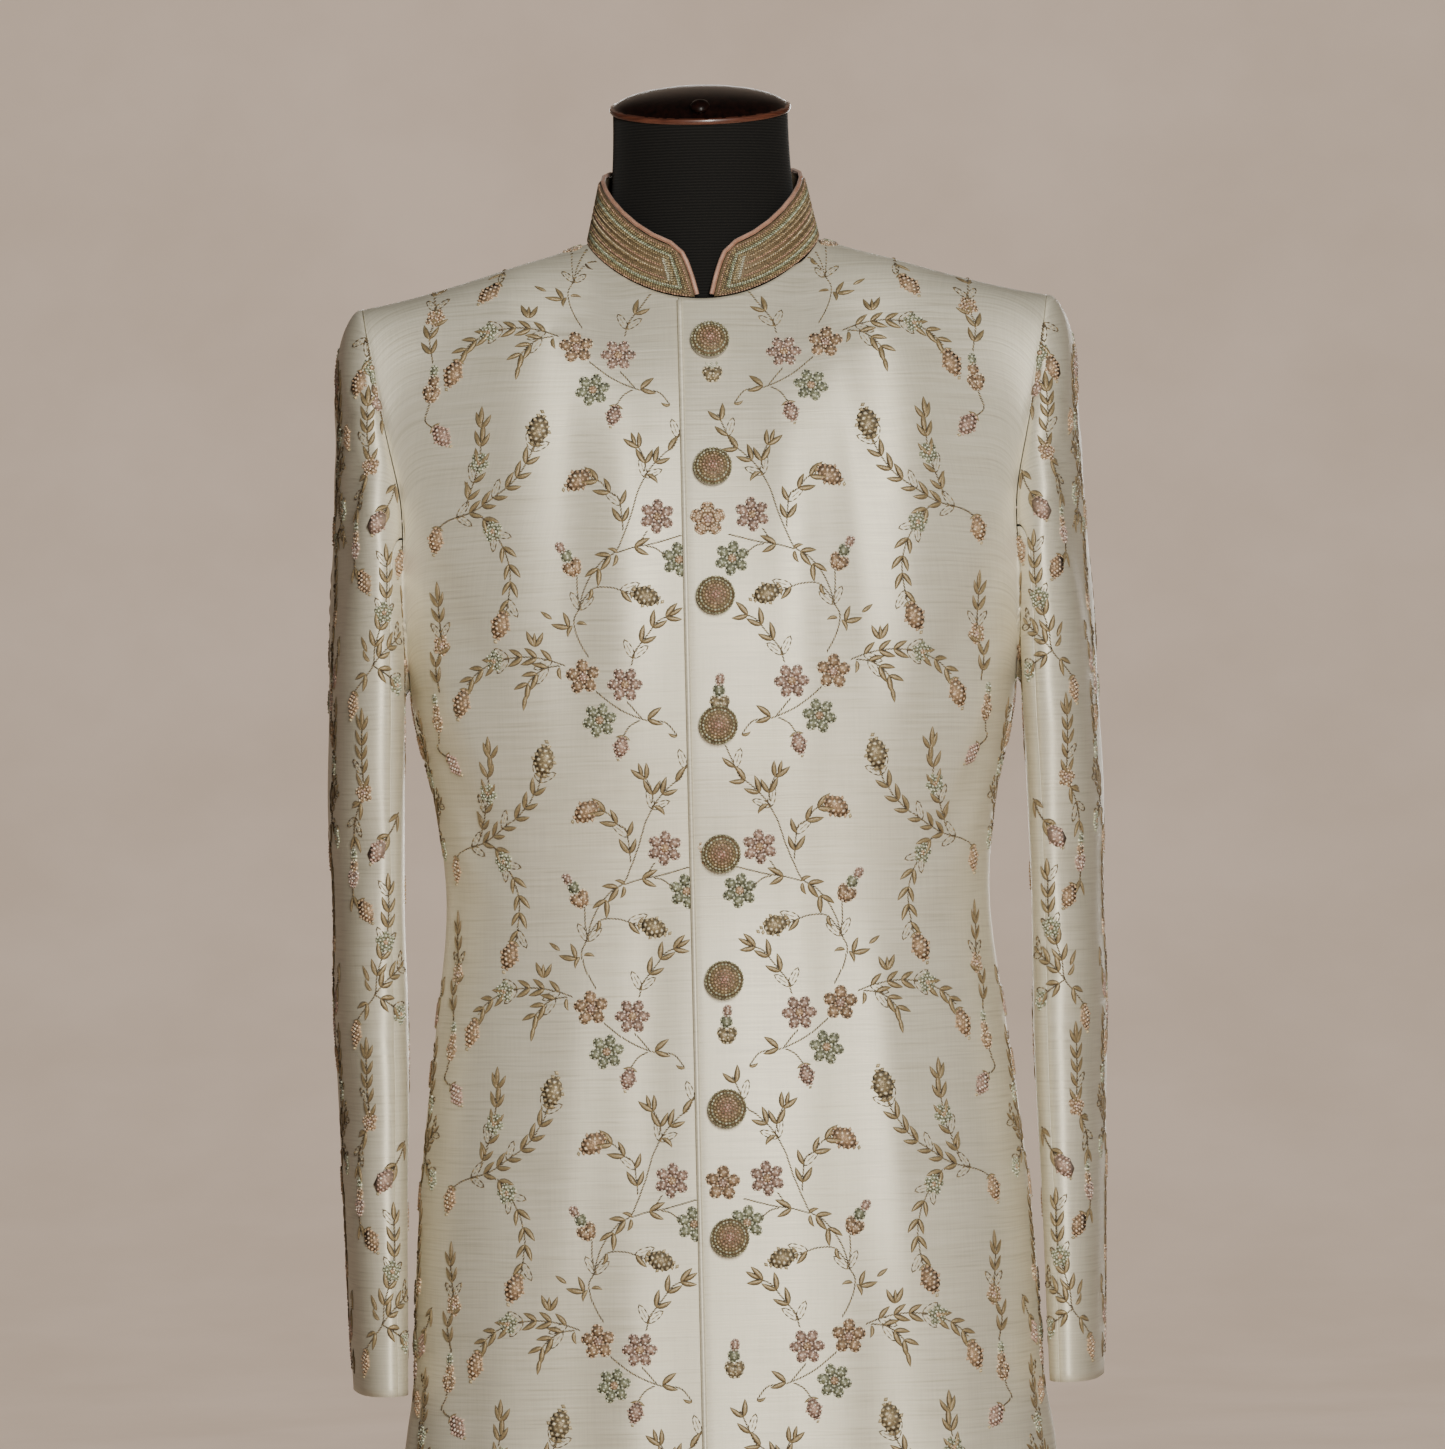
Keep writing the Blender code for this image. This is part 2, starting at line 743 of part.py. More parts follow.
def make_piping():
    rim = collar_rim()
    edge = []
    for share, high in rim:
        edge.append(collar_point(share, high) - collar_normal(share, high) * COLLAR_WALL / 2)
    path = []
    for k, (share, high) in enumerate(rim):
        along = edge[min(k + 1, len(edge) - 1)] - edge[max(k - 1, 0)]
        out = along.cross(collar_normal(share, high)).normalized()
        if out.z < 0:
            out = -out
        path.append(edge[k] + out * (PIPING_RADIUS + SEAM_GAP))
    curve = bpy.data.curves.new("collar_piping", "CURVE")
    curve.dimensions = "3D"
    curve.bevel_depth = PIPING_RADIUS
    curve.bevel_resolution = 1
    curve.use_fill_caps = True
    spline = curve.splines.new("POLY")
    spline.points.add(len(path) - 1)
    for point, place in zip(spline.points, path):
        point.co = (*place, 1.0)
    curve.materials.append(material("piping"))
    obj = bpy.data.objects.new("collar_piping", curve)
    bpy.context.scene.collection.objects.link(obj)


def make_buttons(lapping_front):
    """Each button sits on the lapping front, square to its surface."""
    mesh = lapping_front.data
    corners = [vertex.co for vertex in mesh.vertices]
    surface = BVHTree.FromPolygons(corners, [face.vertices for face in mesh.polygons])
    for k in range(BUTTON_COUNT):
        height = TOP_BUTTON_Z - k * BUTTON_SPACING
        seat = surface.ray_cast(Vector((BUTTON_X, -1.0, height)), Vector((0, 1, 0)))[0]
        around = []
        for dx, dz in ((-1, 0), (1, 0), (0, -1), (0, 1)):
            aim = seat + Vector((dx * BUTTON_FOOT, -1.0, dz * BUTTON_FOOT))
            around.append(surface.ray_cast(aim, Vector((0, 1, 0)))[0])
        normal = (around[1] - around[0]).cross(around[3] - around[2]).normalized()
        proud = max(0.0, max((point - seat).dot(normal) for point in around))
        turned(
            f"button_{k + 1}",
            BUTTON_PROFILE,
            BUTTON_CROWN,
            BUTTON_SEGMENTS,
            seat + normal * (proud + BUTTON_SEAT),
            normal,
            "button embroidery",
        )


# Dress form


def form_top_point(share, side):
    """The form's neck base and shoulder line, from the centre line at 0 to the side at 1."""
    if share <= NECK_SHARE:
        turn = math.pi / 2 * share / NECK_SHARE
        turn = turn if side < 0 else math.pi - turn
        return form_neck_base(turn)
    f = math.sin(math.pi / 2 * (share - NECK_SHARE) / (1 - NECK_SHARE))
    x = blend(FORM_NECK_BASE[0], FORM_TIP_X, f)
    seam = shoulder_point(max(0.0, (x - NECK_HALF_WIDTH) / (TIP_X - NECK_HALF_WIDTH)))
    past = max(0.0, x - (FORM_TIP_X - FORM_TIP_ROUND))
    rounding = FORM_TIP_ROUND - math.sqrt(FORM_TIP_ROUND**2 - past**2)
    under = WALL + FORM_CLEARANCE + FORM_NECK_SINK * (1 - f) ** 2
    return Vector((x, seam.y, seam.z - under - rounding))


def form_neck_base(turn):
    side_point = shoulder_point(0.0)
    base = neckline_point(turn)
    return Vector((
        FORM_NECK_BASE[0] * math.sin(turn),
        side_point.y - FORM_NECK_BASE[1] * math.cos(turn),
        base.z - WALL - FORM_CLEARANCE - FORM_NECK_SINK,
    ))


def form_ring_point(share, height, side):
    half_width = read_table(BODY_RINGS, height, 1) - FORM_MARGIN
    depth = read_table(BODY_RINGS, height, 2 if side < 0 else 3) - FORM_MARGIN
    angle = share * math.pi / 2
    bulge = 1 + FORM_SQUARENESS * math.sin(angle) ** 2
    return Vector((half_width * math.sin(angle), side * depth * math.cos(angle) * bulge, height))


def form_point(share, along, side):
    if along > 1:
        return form_ring_point(share, blend(ARMPIT_Z, FORM_BOTTOM_Z, along - 1), side)
    top = form_top_point(share, side)
    bottom = form_ring_point(share, ARMPIT_Z, side)
    curl = ease(share / CURL_SHARE)
    angle = along * math.pi / 2
    drop = blend(along, (1 - math.cos(angle)) ** DROP_POWER, curl)
    reach = blend(along * (2 - along), math.sin(angle) ** reach_power(share), curl)
    return Vector((
        blend(top.x, bottom.x, along),
        blend(top.y, bottom.y, reach),
        blend(top.z, bottom.z, drop),
    ))


def neck_ring_point(turn, share):
    """The form's neck, from its base at 0 to the cap's sloping plane at 1."""
    base = form_neck_base(turn)
    y = NECK_MIDDLE_Y - FORM_NECK_TOP[1] * math.cos(turn)
    top = Vector((FORM_NECK_TOP[0] * math.sin(turn), y, CAP_MIDDLE_Z + CAP_SLOPE * y))
    narrow = 1 - (1 - share) ** 2
    return Vector((
        blend(base.x, top.x, narrow),
        blend(base.y, top.y, narrow),
        blend(base.z, top.z, share),
    ))


def make_torso():
    bm = bmesh.new()
    neck_columns = TORSO_NECK_COLUMNS
    columns = TORSO_SHOULDER_COLUMNS
    shares = [NECK_SHARE * k / neck_columns for k in range(neck_columns)]
    shares += [blend(NECK_SHARE, 1.0, k / columns) for k in range(columns + 1)]
    rows = [k / TORSO_CHEST_ROWS for k in range(TORSO_CHEST_ROWS)]
    rows += [1 + k / TORSO_LOWER_ROWS for k in range(TORSO_LOWER_ROWS + 1)]
    for hand in (1, -1):
        for side in (-1, 1):
            sheet = []
            for along in rows:
                line = []
                for share in shares:
                    point = form_point(share, along, side)
                    line.append(bm.verts.new((hand * point.x, point.y, point.z)))
                sheet.append(line)
            for upper, lower in zip(sheet, sheet[1:]):
                for k in range(len(shares) - 1):
                    corners = (upper[k], upper[k + 1], lower[k + 1], lower[k])
                    bm.faces.new(corners if hand * side < 0 else corners[::-1])
    bmesh.ops.remove_doubles(bm, verts=bm.verts, dist=WELD)
    segments = NECK_SEGMENTS
    turns = [2 * math.pi * k / segments for k in range(segments)]
    neck = []
    for i in range(NECK_ROWS + 1):
        neck.append([bm.verts.new(neck_ring_point(turn, i / NECK_ROWS)) for turn in turns])
    for low, high in zip(neck, neck[1:]):
        for k in range(segments):
            m = (k + 1) % segments
            bm.faces.new((low[k], low[m], high[m], high[k]))
    bm.faces.new(neck[-1])
    bmesh.ops.remove_doubles(bm, verts=bm.verts, dist=WELD)
    bmesh.ops.holes_fill(bm, edges=bm.edges, sides=0)
    add_solid("form_torso", bm, "jersey")


def make_neck_cap():
    """The cap's rings are the neck's sloping outline, scaled; the knob is on its front slope."""
    bm = bmesh.new()
    segments = CAP_SEGMENTS
    foot = Vector((0, NECK_MIDDLE_Y, CAP_MIDDLE_Z + CAP_SLOPE * NECK_MIDDLE_Y))
    lean = Vector((0, -CAP_SLOPE, 1)).normalized()
    rings = []
    for scale, height in CAP_PROFILE:
        ring = []
        for k in range(segments):
            edge = neck_ring_point(2 * math.pi * k / segments, 1.0)
            place = foot + (edge - foot) * scale + lean * (height + SEAM_GAP)
            ring.append(bm.verts.new(place))
        rings.append(ring)
    for low, high in zip(rings, rings[1:]):
        for k in range(segments):
            m = (k + 1) % segments
            bm.faces.new((low[k], low[m], high[m], high[k]))
    bm.faces.new(rings[0][::-1])
    crown = bm.verts.new(foot + lean * (CAP_CROWN + SEAM_GAP))
    for k in range(segments):
        bm.faces.new((rings[-1][k], rings[-1][(k + 1) % segments], crown))
    low, high = (rings[k][0].co.copy() for k in KNOB_CAP_RINGS)
    slope = (high - low).normalized()
    out = Vector((1, 0, 0)).cross(slope)
    seat = low.lerp(high, KNOB_SEAT_SHARE) + out * SEAM_GAP
    add_solid("form_neck_cap", bm, "polished wood")
    turned("form_knob", KNOB_PROFILE, KNOB_CROWN, KNOB_SEGMENTS, seat, out, "polished wood")


def make_stand():
    up = Vector((0, 0, 1))
    top_z = BASE_PROFILE[-1][1]
    middle = Vector((0, 0, 0))
    turned("form_base", BASE_PROFILE, top_z, BASE_SEGMENTS, middle, up, "dark metal")
    foot = top_z + SEAM_GAP
    height = FORM_BOTTOM_Z - SEAM_GAP - foot
    profile = ((POLE_RADIUS, 0.0), (POLE_RADIUS, height))
    seat = Vector((0, 0, foot))
    turned("form_pole", profile, height, POLE_SEGMENTS, seat, up, "dark metal")


for startup_object in list(bpy.data.objects):
    bpy.data.objects.remove(startup_object, do_unlink=True)
lapping_front = make_fronts()
make_backs()
make_sleeves()
make_collar()
make_piping()
make_buttons(lapping_front)
make_torso()
make_neck_cap()
make_stand()
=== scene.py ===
# Looks of an ivory raw-silk sherwani coat on its limbless dress form.
# Metres, +Z up. The coat faces -Y, and the wearer's left is at +X.

import math

import bmesh
import bpy
import numpy as np
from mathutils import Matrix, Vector
from mathutils.bvhtree import BVHTree


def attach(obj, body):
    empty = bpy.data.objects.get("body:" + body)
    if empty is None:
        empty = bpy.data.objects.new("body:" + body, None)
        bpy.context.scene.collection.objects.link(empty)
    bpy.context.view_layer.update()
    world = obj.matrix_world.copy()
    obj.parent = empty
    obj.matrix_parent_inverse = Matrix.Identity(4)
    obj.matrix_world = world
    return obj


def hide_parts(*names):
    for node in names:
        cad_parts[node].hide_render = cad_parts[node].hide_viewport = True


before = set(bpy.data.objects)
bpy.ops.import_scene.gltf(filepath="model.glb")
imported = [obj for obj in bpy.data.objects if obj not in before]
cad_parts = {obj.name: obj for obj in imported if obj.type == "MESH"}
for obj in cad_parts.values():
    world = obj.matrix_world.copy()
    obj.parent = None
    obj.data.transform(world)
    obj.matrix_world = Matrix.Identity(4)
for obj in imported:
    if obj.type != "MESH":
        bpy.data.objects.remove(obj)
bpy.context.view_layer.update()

# Cloth
WALL = 0.002
SEAM_GAP = 0.0003
LAP_GAP = 0.0005

# Heights
NECK_Z = 1.430
ARMPIT_Z = 1.180
HEM_Z = 0.370
SLEEVE_LEVEL_Z = 1.130
CUFF_Z = 0.724
FORM_BOTTOM_Z = 0.800

# Neckline, a ring round the neck: its height is a mean less a tilt and a saddle
NECK_HALF_WIDTH = 0.075
NECK_HALF_DEPTH = 0.061
NECK_MIDDLE_Y = 0.002
NECK_MEAN_RISE = 0.030
NECK_TILT = 0.019
NECK_SADDLE = 0.011

# Shoulder seam, and the roll of the cloth over it
TIP_X = 0.223
TIP_Y = 0.006
TIP_RISE = 0.0006
SHOULDER_CURVE = 1.25
NECK_SHARE = 0.34
CURL_SHARE = 0.55
DROP_POWER = 1.2
HOLLOW_POWER = 3
LIP_POWER = 5
REACH_POWER_AT_NECK = 0.80
REACH_POWER_AT_TIP = 0.62

# Body below the armpit
SQUARENESS = 0.30
BODY_RINGS = (
    # height, half width, front depth, back depth
    (1.210, 0.1975, 0.1200, 0.1080),
    (1.180, 0.1975, 0.1205, 0.1080),
    (1.160, 0.1955, 0.1203, 0.1070),
    (1.130, 0.1890, 0.1182, 0.1038),
    (1.105, 0.1828, 0.1148, 0.1002),
    (1.053, 0.1777, 0.1075, 0.0930),
    (1.020, 0.1785, 0.1060, 0.0925),
    (0.975, 0.1840, 0.1085, 0.0980),
    (0.910, 0.1925, 0.1150, 0.1080),
    (0.845, 0.1995, 0.1215, 0.1165),
    (0.780, 0.2040, 0.1270, 0.1230),
    (0.724, 0.2065, 0.1310, 0.1275),
    (0.685, 0.2125, 0.1340, 0.1310),
    (0.540, 0.2250, 0.1425, 0.1410),
    (0.370, 0.2380, 0.1500, 0.1500),
)
ARMHOLE_EDGE = (
    # height, x of the armhole seam
    (1.4306, 0.2230), (1.370, 0.2130), (1.340, 0.2070), (1.304, 0.2000), (1.277, 0.1990),
    (1.230, 0.2005), (1.180, 0.1975),
)
ARMHOLE_TURN = 0.27
ARMHOLE_RETURN = 0.75

# Front opening: how far each front reaches past the centre line
LAP_REACH = 0.0165
UNDERLAP_REACH = 0.035
LAP_FADE = (0.040, 0.075)
LEAST_LEVEL = 0.6

# Soft flutes of the skirt, as troughs
FRONT_FLUTES = (
    # place across the panel, half width, depth at the hem, height where it starts
    (0.30, 0.085, 0.0060, 1.00), (0.58, 0.070, 0.0075, 0.86), (0.82, 0.060, 0.0055, 0.78),
)
BACK_FLUTES = (
    (0.26, 0.080, 0.0065, 0.92), (0.52, 0.075, 0.0070, 0.84), (0.80, 0.060, 0.0060, 0.74),
)

# Sleeves
SLEEVE_TILT = 0.14
SLEEVE_SQUARENESS = 0.35
ROLL_AT_TIP = 0.045
ROLL_AT_ARMPIT = 0.022
HEAD_FULLNESS = 0.75
FRONT_SEAM_TURN = 108.0
BACK_SEAM_TURN = 262.0
SEAM_TURN_GAP = 0.4
SLEEVE_SECTIONS = (
    # height, outer x, inner x, middle y, half depth
    (1.431, 0.2435, 0.2020, 0.004, 0.0730),
    (1.370, 0.2440, 0.2020, 0.004, 0.0740),
    (1.305, 0.2465, 0.2020, 0.003, 0.0745),
    (1.230, 0.2500, 0.2020, 0.002, 0.0765),
    (1.170, 0.2515, 0.2025, 0.002, 0.0765),
    (1.105, 0.2540, 0.2040, 0.004, 0.0735),
    (1.040, 0.2530, 0.2050, 0.007, 0.0690),
    (0.975, 0.2530, 0.2045, 0.006, 0.0650),
    (0.910, 0.2510, 0.2055, 0.002, 0.0620),
    (0.845, 0.2490, 0.2075, -0.003, 0.0595),
    (0.780, 0.2470, 0.2085, -0.008, 0.0575),
    (0.724, 0.2450, 0.2095, -0.012, 0.0560),
)
SLEEVE_FOLDS = (
    # turn, height, half width in turn, half height, slant in turn per metre, depth
    (62, 1.330, 26, 0.0400, 420, 0.0045), (34, 1.270, 30, 0.0450, 420, 0.0035),
    (300, 1.315, 28, 0.0450, -380, 0.0045), (70, 1.090, 34, 0.0375, 260, 0.0030),
    (286, 1.060, 36, 0.0425, -240, 0.0035), (196, 1.030, 40, 0.0500, 120, 0.0030),
    (40, 0.930, 30, 0.0500, 300, 0.0020),
)

# Collar
COLLAR_SEAT = 0.0010
COLLAR_TOP_HALF_WIDTH = 0.0665
COLLAR_TOP_HALF_DEPTH = 0.0585
COLLAR_TOP_MIDDLE_Y = 0.0025
COLLAR_FRONT_HEIGHT = 0.0305
COLLAR_BACK_HEIGHT = 0.0400
COLLAR_FRONT_EDGE = (
    # share of the height, x of the collar's front end
    (1.00, 0.0225), (0.90, 0.0165), (0.75, 0.0135), (0.45, 0.0100), (0.00, 0.0062),
)

# Buttons
BUTTON_COUNT = 8
BUTTON_X = 0.003
TOP_BUTTON_Z = 1.4008
BUTTON_SPACING = 0.0822

# Dress form
FORM_CLEARANCE = 0.0007
FORM_NECK_SINK = 0.0035
FORM_MARGIN = 0.012
FORM_NECK_BASE = (0.064, 0.053)
FORM_NECK_TOP = (0.0572, 0.0505)
FORM_TIP_X = 0.190
FORM_TIP_ROUND = 0.032
FORM_SQUARENESS = 0.15
CAP_MIDDLE_Z = 1.5545
CAP_SLOPE = 0.24
CAP_SEAT = 0.0003

# Divisions
COLUMN_CROWDING = 1.12
YOKE_ROWS = (0.0, 0.09, 0.20, 0.32, 0.45, 0.58, 0.70, 0.80, 0.88, 0.94, 0.98)
BODY_ROWS = (
    1.180, 1.155, 1.125, 1.090, 1.050, 1.005, 0.950, 0.885, 0.815,
    0.750, 0.700, 0.630, 0.550, 0.460, 0.370,
)
STEP = 1e-4
HALVINGS = 40
MOST_LAP_ACROSS = 0.5
QUARTER = math.pi / 2


def blend(first, last, share):
    return first + (last - first) * share


def ease(share):
    """A smooth step from 0 to 1."""
    share = min(1.0, max(0.0, share))
    return share * share * (3.0 - 2.0 * share)


def read_table(table, height, column):
    """A smooth value from a table whose first column falls from row to row."""
    heights = [row[0] for row in table]
    values = [row[column] for row in table]
    if height >= heights[0]:
        return values[0]
    if height <= heights[-1]:
        return values[-1]
    row = max(k for k in range(len(table) - 1) if heights[k] >= height)

    def slope(k):
        before = max(k - 1, 0)
        after = min(k + 1, len(table) - 1)
        return (values[after] - values[before]) / (heights[after] - heights[before])

    span = heights[row + 1] - heights[row]
    s = (height - heights[row]) / span
    return (
        values[row] * (2 * s**3 - 3 * s**2 + 1)
        + slope(row) * span * (s**3 - 2 * s**2 + s)
        + values[row + 1] * (3 * s**2 - 2 * s**3)
        + slope(row + 1) * span * (s**3 - s**2)
    )


# The coat's own surface: across runs from 0 at the centre line to 1 at the side,
# along runs from 0 at the neckline and shoulder seam, through 1 at the armpit, to 2 at the hem.
# The side is -1 for the front and 1 for the back.


def neckline_point(turn):
    """A point of the neckline, at a turn from the centre front."""
    rise = NECK_MEAN_RISE - NECK_TILT * math.cos(turn) - NECK_SADDLE * math.cos(2 * turn)
    y = NECK_MIDDLE_Y - NECK_HALF_DEPTH * math.cos(turn)
    return Vector((NECK_HALF_WIDTH * math.sin(turn), y, NECK_Z + rise))


def neck_turn(share, side):
    """The turn round the neck at a share of the way across, no more than NECK_SHARE."""
    turn = QUARTER * share / NECK_SHARE
    return turn if side < 0 else math.pi - turn


def shoulder_point(share):
    """A point of the shoulder seam, from the neck at 0 to the tip at 1."""
    neck = neckline_point(QUARTER)
    height = blend(NECK_Z + TIP_RISE, neck.z, (1.0 - share) ** SHOULDER_CURVE)
    return Vector((blend(neck.x, TIP_X, share), blend(neck.y, TIP_Y, share), height))


def top_point(across, side):
    share = abs(across)
    if share <= NECK_SHARE:
        point = neckline_point(neck_turn(share, side))
    else:
        point = shoulder_point((share - NECK_SHARE) / (1 - NECK_SHARE))
    point.x = math.copysign(point.x, across)
    return point


def ring_point(angle, height, side, margin=0.0, squareness=SQUARENESS):
    """A point of the body's level ring; the form's ring lies a margin inside it."""
    half_width = read_table(BODY_RINGS, height, 1) - margin
    depth = read_table(BODY_RINGS, height, 2 if side < 0 else 3) - margin
    bulge = 1 + squareness * math.sin(angle) ** 2
    return Vector((half_width * math.sin(angle), side * depth * math.cos(angle) * bulge, height))


def shoulder_roll(share, along):
    """How far down and how far out a surface has come as it rolls over the shoulder."""
    curl = ease(share / CURL_SHARE)
    angle = along * QUARTER
    power = blend(REACH_POWER_AT_NECK, REACH_POWER_AT_TIP, share**HOLLOW_POWER)
    drop = blend(along, (1 - math.cos(angle)) ** DROP_POWER, curl)
    return drop, blend(along * (2 - along), math.sin(angle) ** power, curl)


def body_point(across, along, side):
    """A point of the coat: below the armpit a level ring, and above it cut by the armhole."""
    if along > 1:
        return ring_point(across * QUARTER, blend(ARMPIT_Z, HEM_Z, along - 1), side)
    share = abs(across)
    top = top_point(across, side)
    bottom = ring_point(across * QUARTER, ARMPIT_Z, side)
    drop, reach = shoulder_roll(share, along)
    height = blend(top.z, bottom.z, drop)
    chest = ring_point(across * QUARTER * (1 - ARMHOLE_TURN * share**2), ARMPIT_Z, side)
    late = max(0.0, (along - ARMHOLE_RETURN) / (1 - ARMHOLE_RETURN))
    stay = blend(1 - ease(late), math.sqrt(1 - late**2), share**LIP_POWER)
    edge = read_table(ARMHOLE_EDGE, height, 1) - blend(TIP_X, ARMHOLE_EDGE[-1][1], along)
    x = blend(top.x, bottom.x, along) + math.copysign(share**HOLLOW_POWER, across) * edge
    return Vector((x, blend(top.y, blend(bottom.y, chest.y, stay), reach), height))


def level_lift(across, along, side):
    """A level step that moves the surface outward by one unit, measured square to the cloth."""
    down = body_point(across, min(along + STEP, 2.0), side)
    down -= body_point(across, max(along - STEP, 0.0), side)
    sideways = body_point(min(across + STEP, 1.0), along, side)
    sideways -= body_point(across - STEP, along, side)
    normal = down.cross(sideways).normalized()
    point = body_point(across, along, side)
    level = Vector((normal.x, normal.y, 0.0))
    if level.dot(point) < 0:
        level = -level
    return level.normalized() / max(level.length, LEAST_LEVEL)


def across_at(x, along, side):
    """Where the surface has this x, found by halving."""
    low = -MOST_LAP_ACROSS
    high = MOST_LAP_ACROSS
    for _ in range(HALVINGS):
        middle = (low + high) / 2
        if body_point(middle, along, side).x < x:
            low = middle
        else:
            high = middle
    return low


def flute_depth(flutes, across, height):
    depth = 0.0
    for place, half_width, deepest, start in flutes:
        grown = ease((start - height) / (start - HEM_Z))
        depth += deepest * grown * math.exp(-(((across - place) / half_width) ** 2))
    return depth


# Sleeves: the turn runs from 0 at the shoulder tip and the outside of the arm,
# through 90 degrees at the front and 180 at the armpit, to 270 at the back.


def armhole_edge(side, rows):
    """Points of the armhole's edge from the tip to the armpit, and the turn of each."""
    points = [body_point(1.0, along, side) for along in rows]
    lengths = [0.0]
    for before, after in zip(points, points[1:]):
        lengths.append(lengths[-1] + (after - before).length)
    return points, [180 * length / lengths[-1] for length in lengths]


def armhole_point(turn, edges):
    turn = turn % 360
    points, turns = edges[-1 if turn <= 180 else 1]
    wanted = turn if turn <= 180 else 360 - turn
    k = min(sum(1 for corner in turns[1:] if corner < wanted), len(points) - 2)
    share = (wanted - turns[k]) / (turns[k + 1] - turns[k])
    return points[k].lerp(points[k + 1], share) + Vector((SEAM_GAP, 0, 0))


def sleeve_section(turn, height):
    """A point of the sleeve's level section, and the section's middle."""
    outer, inner, middle_y, half_depth = (read_table(SLEEVE_SECTIONS, height, k) for k in range(1, 5))
    half_width = math.sqrt(((outer - inner) / 2) ** 2 - (SLEEVE_TILT * half_depth) ** 2)
    angle = math.radians(turn)
    y = -half_depth * math.sin(angle)
    bulge = 1 + SLEEVE_SQUARENESS * math.sin(angle) ** 2
    middle = (outer + inner) / 2
    x = middle + half_width * math.cos(angle) * bulge + SLEEVE_TILT * y
    return Vector((x, middle_y + y, height)), Vector((middle, middle_y, height))


def fold_depth(folds, turn, height):
    depth = 0.0
    for place, middle, half_turn, half_height, slant, deepest in folds:
        rise = height - middle
        off = (turn - place - slant * rise + 180) % 360 - 180
        depth += deepest * math.exp(-((off / half_turn) ** 2 + (rise / half_height) ** 2))
    return depth


def sleeve_point(turn, along, edges):
    """Along runs 0 to 1 over the sleeve head, to 2 below the armpit and to 3 at the cuff."""
    start = armhole_point(turn, edges)
    angle = math.radians(turn)
    roll = blend(ROLL_AT_TIP, ROLL_AT_ARMPIT, (1 - math.cos(angle)) / 2)
    out = 1.0
    if along <= 1:
        height = start.z - roll * (1 - math.cos(along * QUARTER))
        out = math.sin(along * QUARTER)
    elif along <= 2:
        height = blend(start.z - roll, SLEEVE_LEVEL_Z, along - 1)
    else:
        height = blend(SLEEVE_LEVEL_Z, CUFF_Z, along - 2)
    section, _ = sleeve_section(turn, height)
    sink = fold_depth(SLEEVE_FOLDS, turn, height) * out
    x = blend(start.x, section.x, out) - math.cos(angle) * sink
    y = blend(start.y, section.y, out**HEAD_FULLNESS) + math.sin(angle) * sink
    return Vector((x, y, height))


# Collar: share runs from 0 at the wearer's left front end round the back to 1,
# and high from 0 at the neckline to 1 at the upper edge.


def collar_point(share, high):
    half_width = blend(NECK_HALF_WIDTH, COLLAR_TOP_HALF_WIDTH, high)
    start = math.asin(read_table(COLLAR_FRONT_EDGE, high, 1) / half_width)
    turn = blend(start, 2 * math.pi - start, share)
    foot = neckline_point(turn)
    front = ((1 + math.cos(turn)) / 2) ** 2
    top = Vector((
        COLLAR_TOP_HALF_WIDTH * math.sin(turn),
        COLLAR_TOP_MIDDLE_Y - COLLAR_TOP_HALF_DEPTH * math.cos(turn),
        foot.z + blend(COLLAR_BACK_HEIGHT, COLLAR_FRONT_HEIGHT, front),
    ))
    return foot.lerp(top, high) + Vector((0, 0, COLLAR_SEAT))


def collar_normal(share, high):
    ahead = collar_point(min(share + STEP, 1), high) - collar_point(max(share - STEP, 0), high)
    upward = collar_point(share, min(high + STEP, 1)) - collar_point(share, max(high - STEP, 0))
    return ahead.cross(upward).normalized()


def form_neck_base(turn):
    return Vector((
        FORM_NECK_BASE[0] * math.sin(turn),
        shoulder_point(0.0).y - FORM_NECK_BASE[1] * math.cos(turn),
        neckline_point(turn).z - WALL - FORM_CLEARANCE - FORM_NECK_SINK,
    ))


def form_top_point(share, side):
    """The form's neck base and shoulder line, from the centre line at 0 to the side at 1."""
    if share <= NECK_SHARE:
        return form_neck_base(neck_turn(share, side))
    f = math.sin(QUARTER * (share - NECK_SHARE) / (1 - NECK_SHARE))
    x = blend(FORM_NECK_BASE[0], FORM_TIP_X, f)
    seam = shoulder_point(max(0.0, (x - NECK_HALF_WIDTH) / (TIP_X - NECK_HALF_WIDTH)))
    past = max(0.0, x - (FORM_TIP_X - FORM_TIP_ROUND))
    rounding = FORM_TIP_ROUND - math.sqrt(FORM_TIP_ROUND**2 - past**2)
    under = WALL + FORM_CLEARANCE + FORM_NECK_SINK * (1 - f) ** 2
    return Vector((x, seam.y, seam.z - under - rounding))


def form_point(share, along, side):
    height = blend(ARMPIT_Z, FORM_BOTTOM_Z, max(along - 1, 0.0))
    ring = ring_point(share * QUARTER, height, side, FORM_MARGIN, FORM_SQUARENESS)
    if along > 1:
        return ring
    top = form_top_point(share, side)
    drop, reach = shoulder_roll(share, along)
    x = blend(top.x, ring.x, along)
    return Vector((x, blend(top.y, ring.y, reach), blend(top.z, ring.z, drop)))


def neck_ring_point(turn, share):
    """The form's neck, from its base at 0 to the cap's sloping plane at 1."""
    base = form_neck_base(turn)
    y = NECK_MIDDLE_Y - FORM_NECK_TOP[1] * math.cos(turn)
    narrow = 1 - (1 - share) ** 2
    x = blend(base.x, FORM_NECK_TOP[0] * math.sin(turn), narrow)
    return Vector((x, blend(base.y, y, narrow), blend(base.z, CAP_MIDDLE_Z + CAP_SLOPE * y, share)))


# Finishes


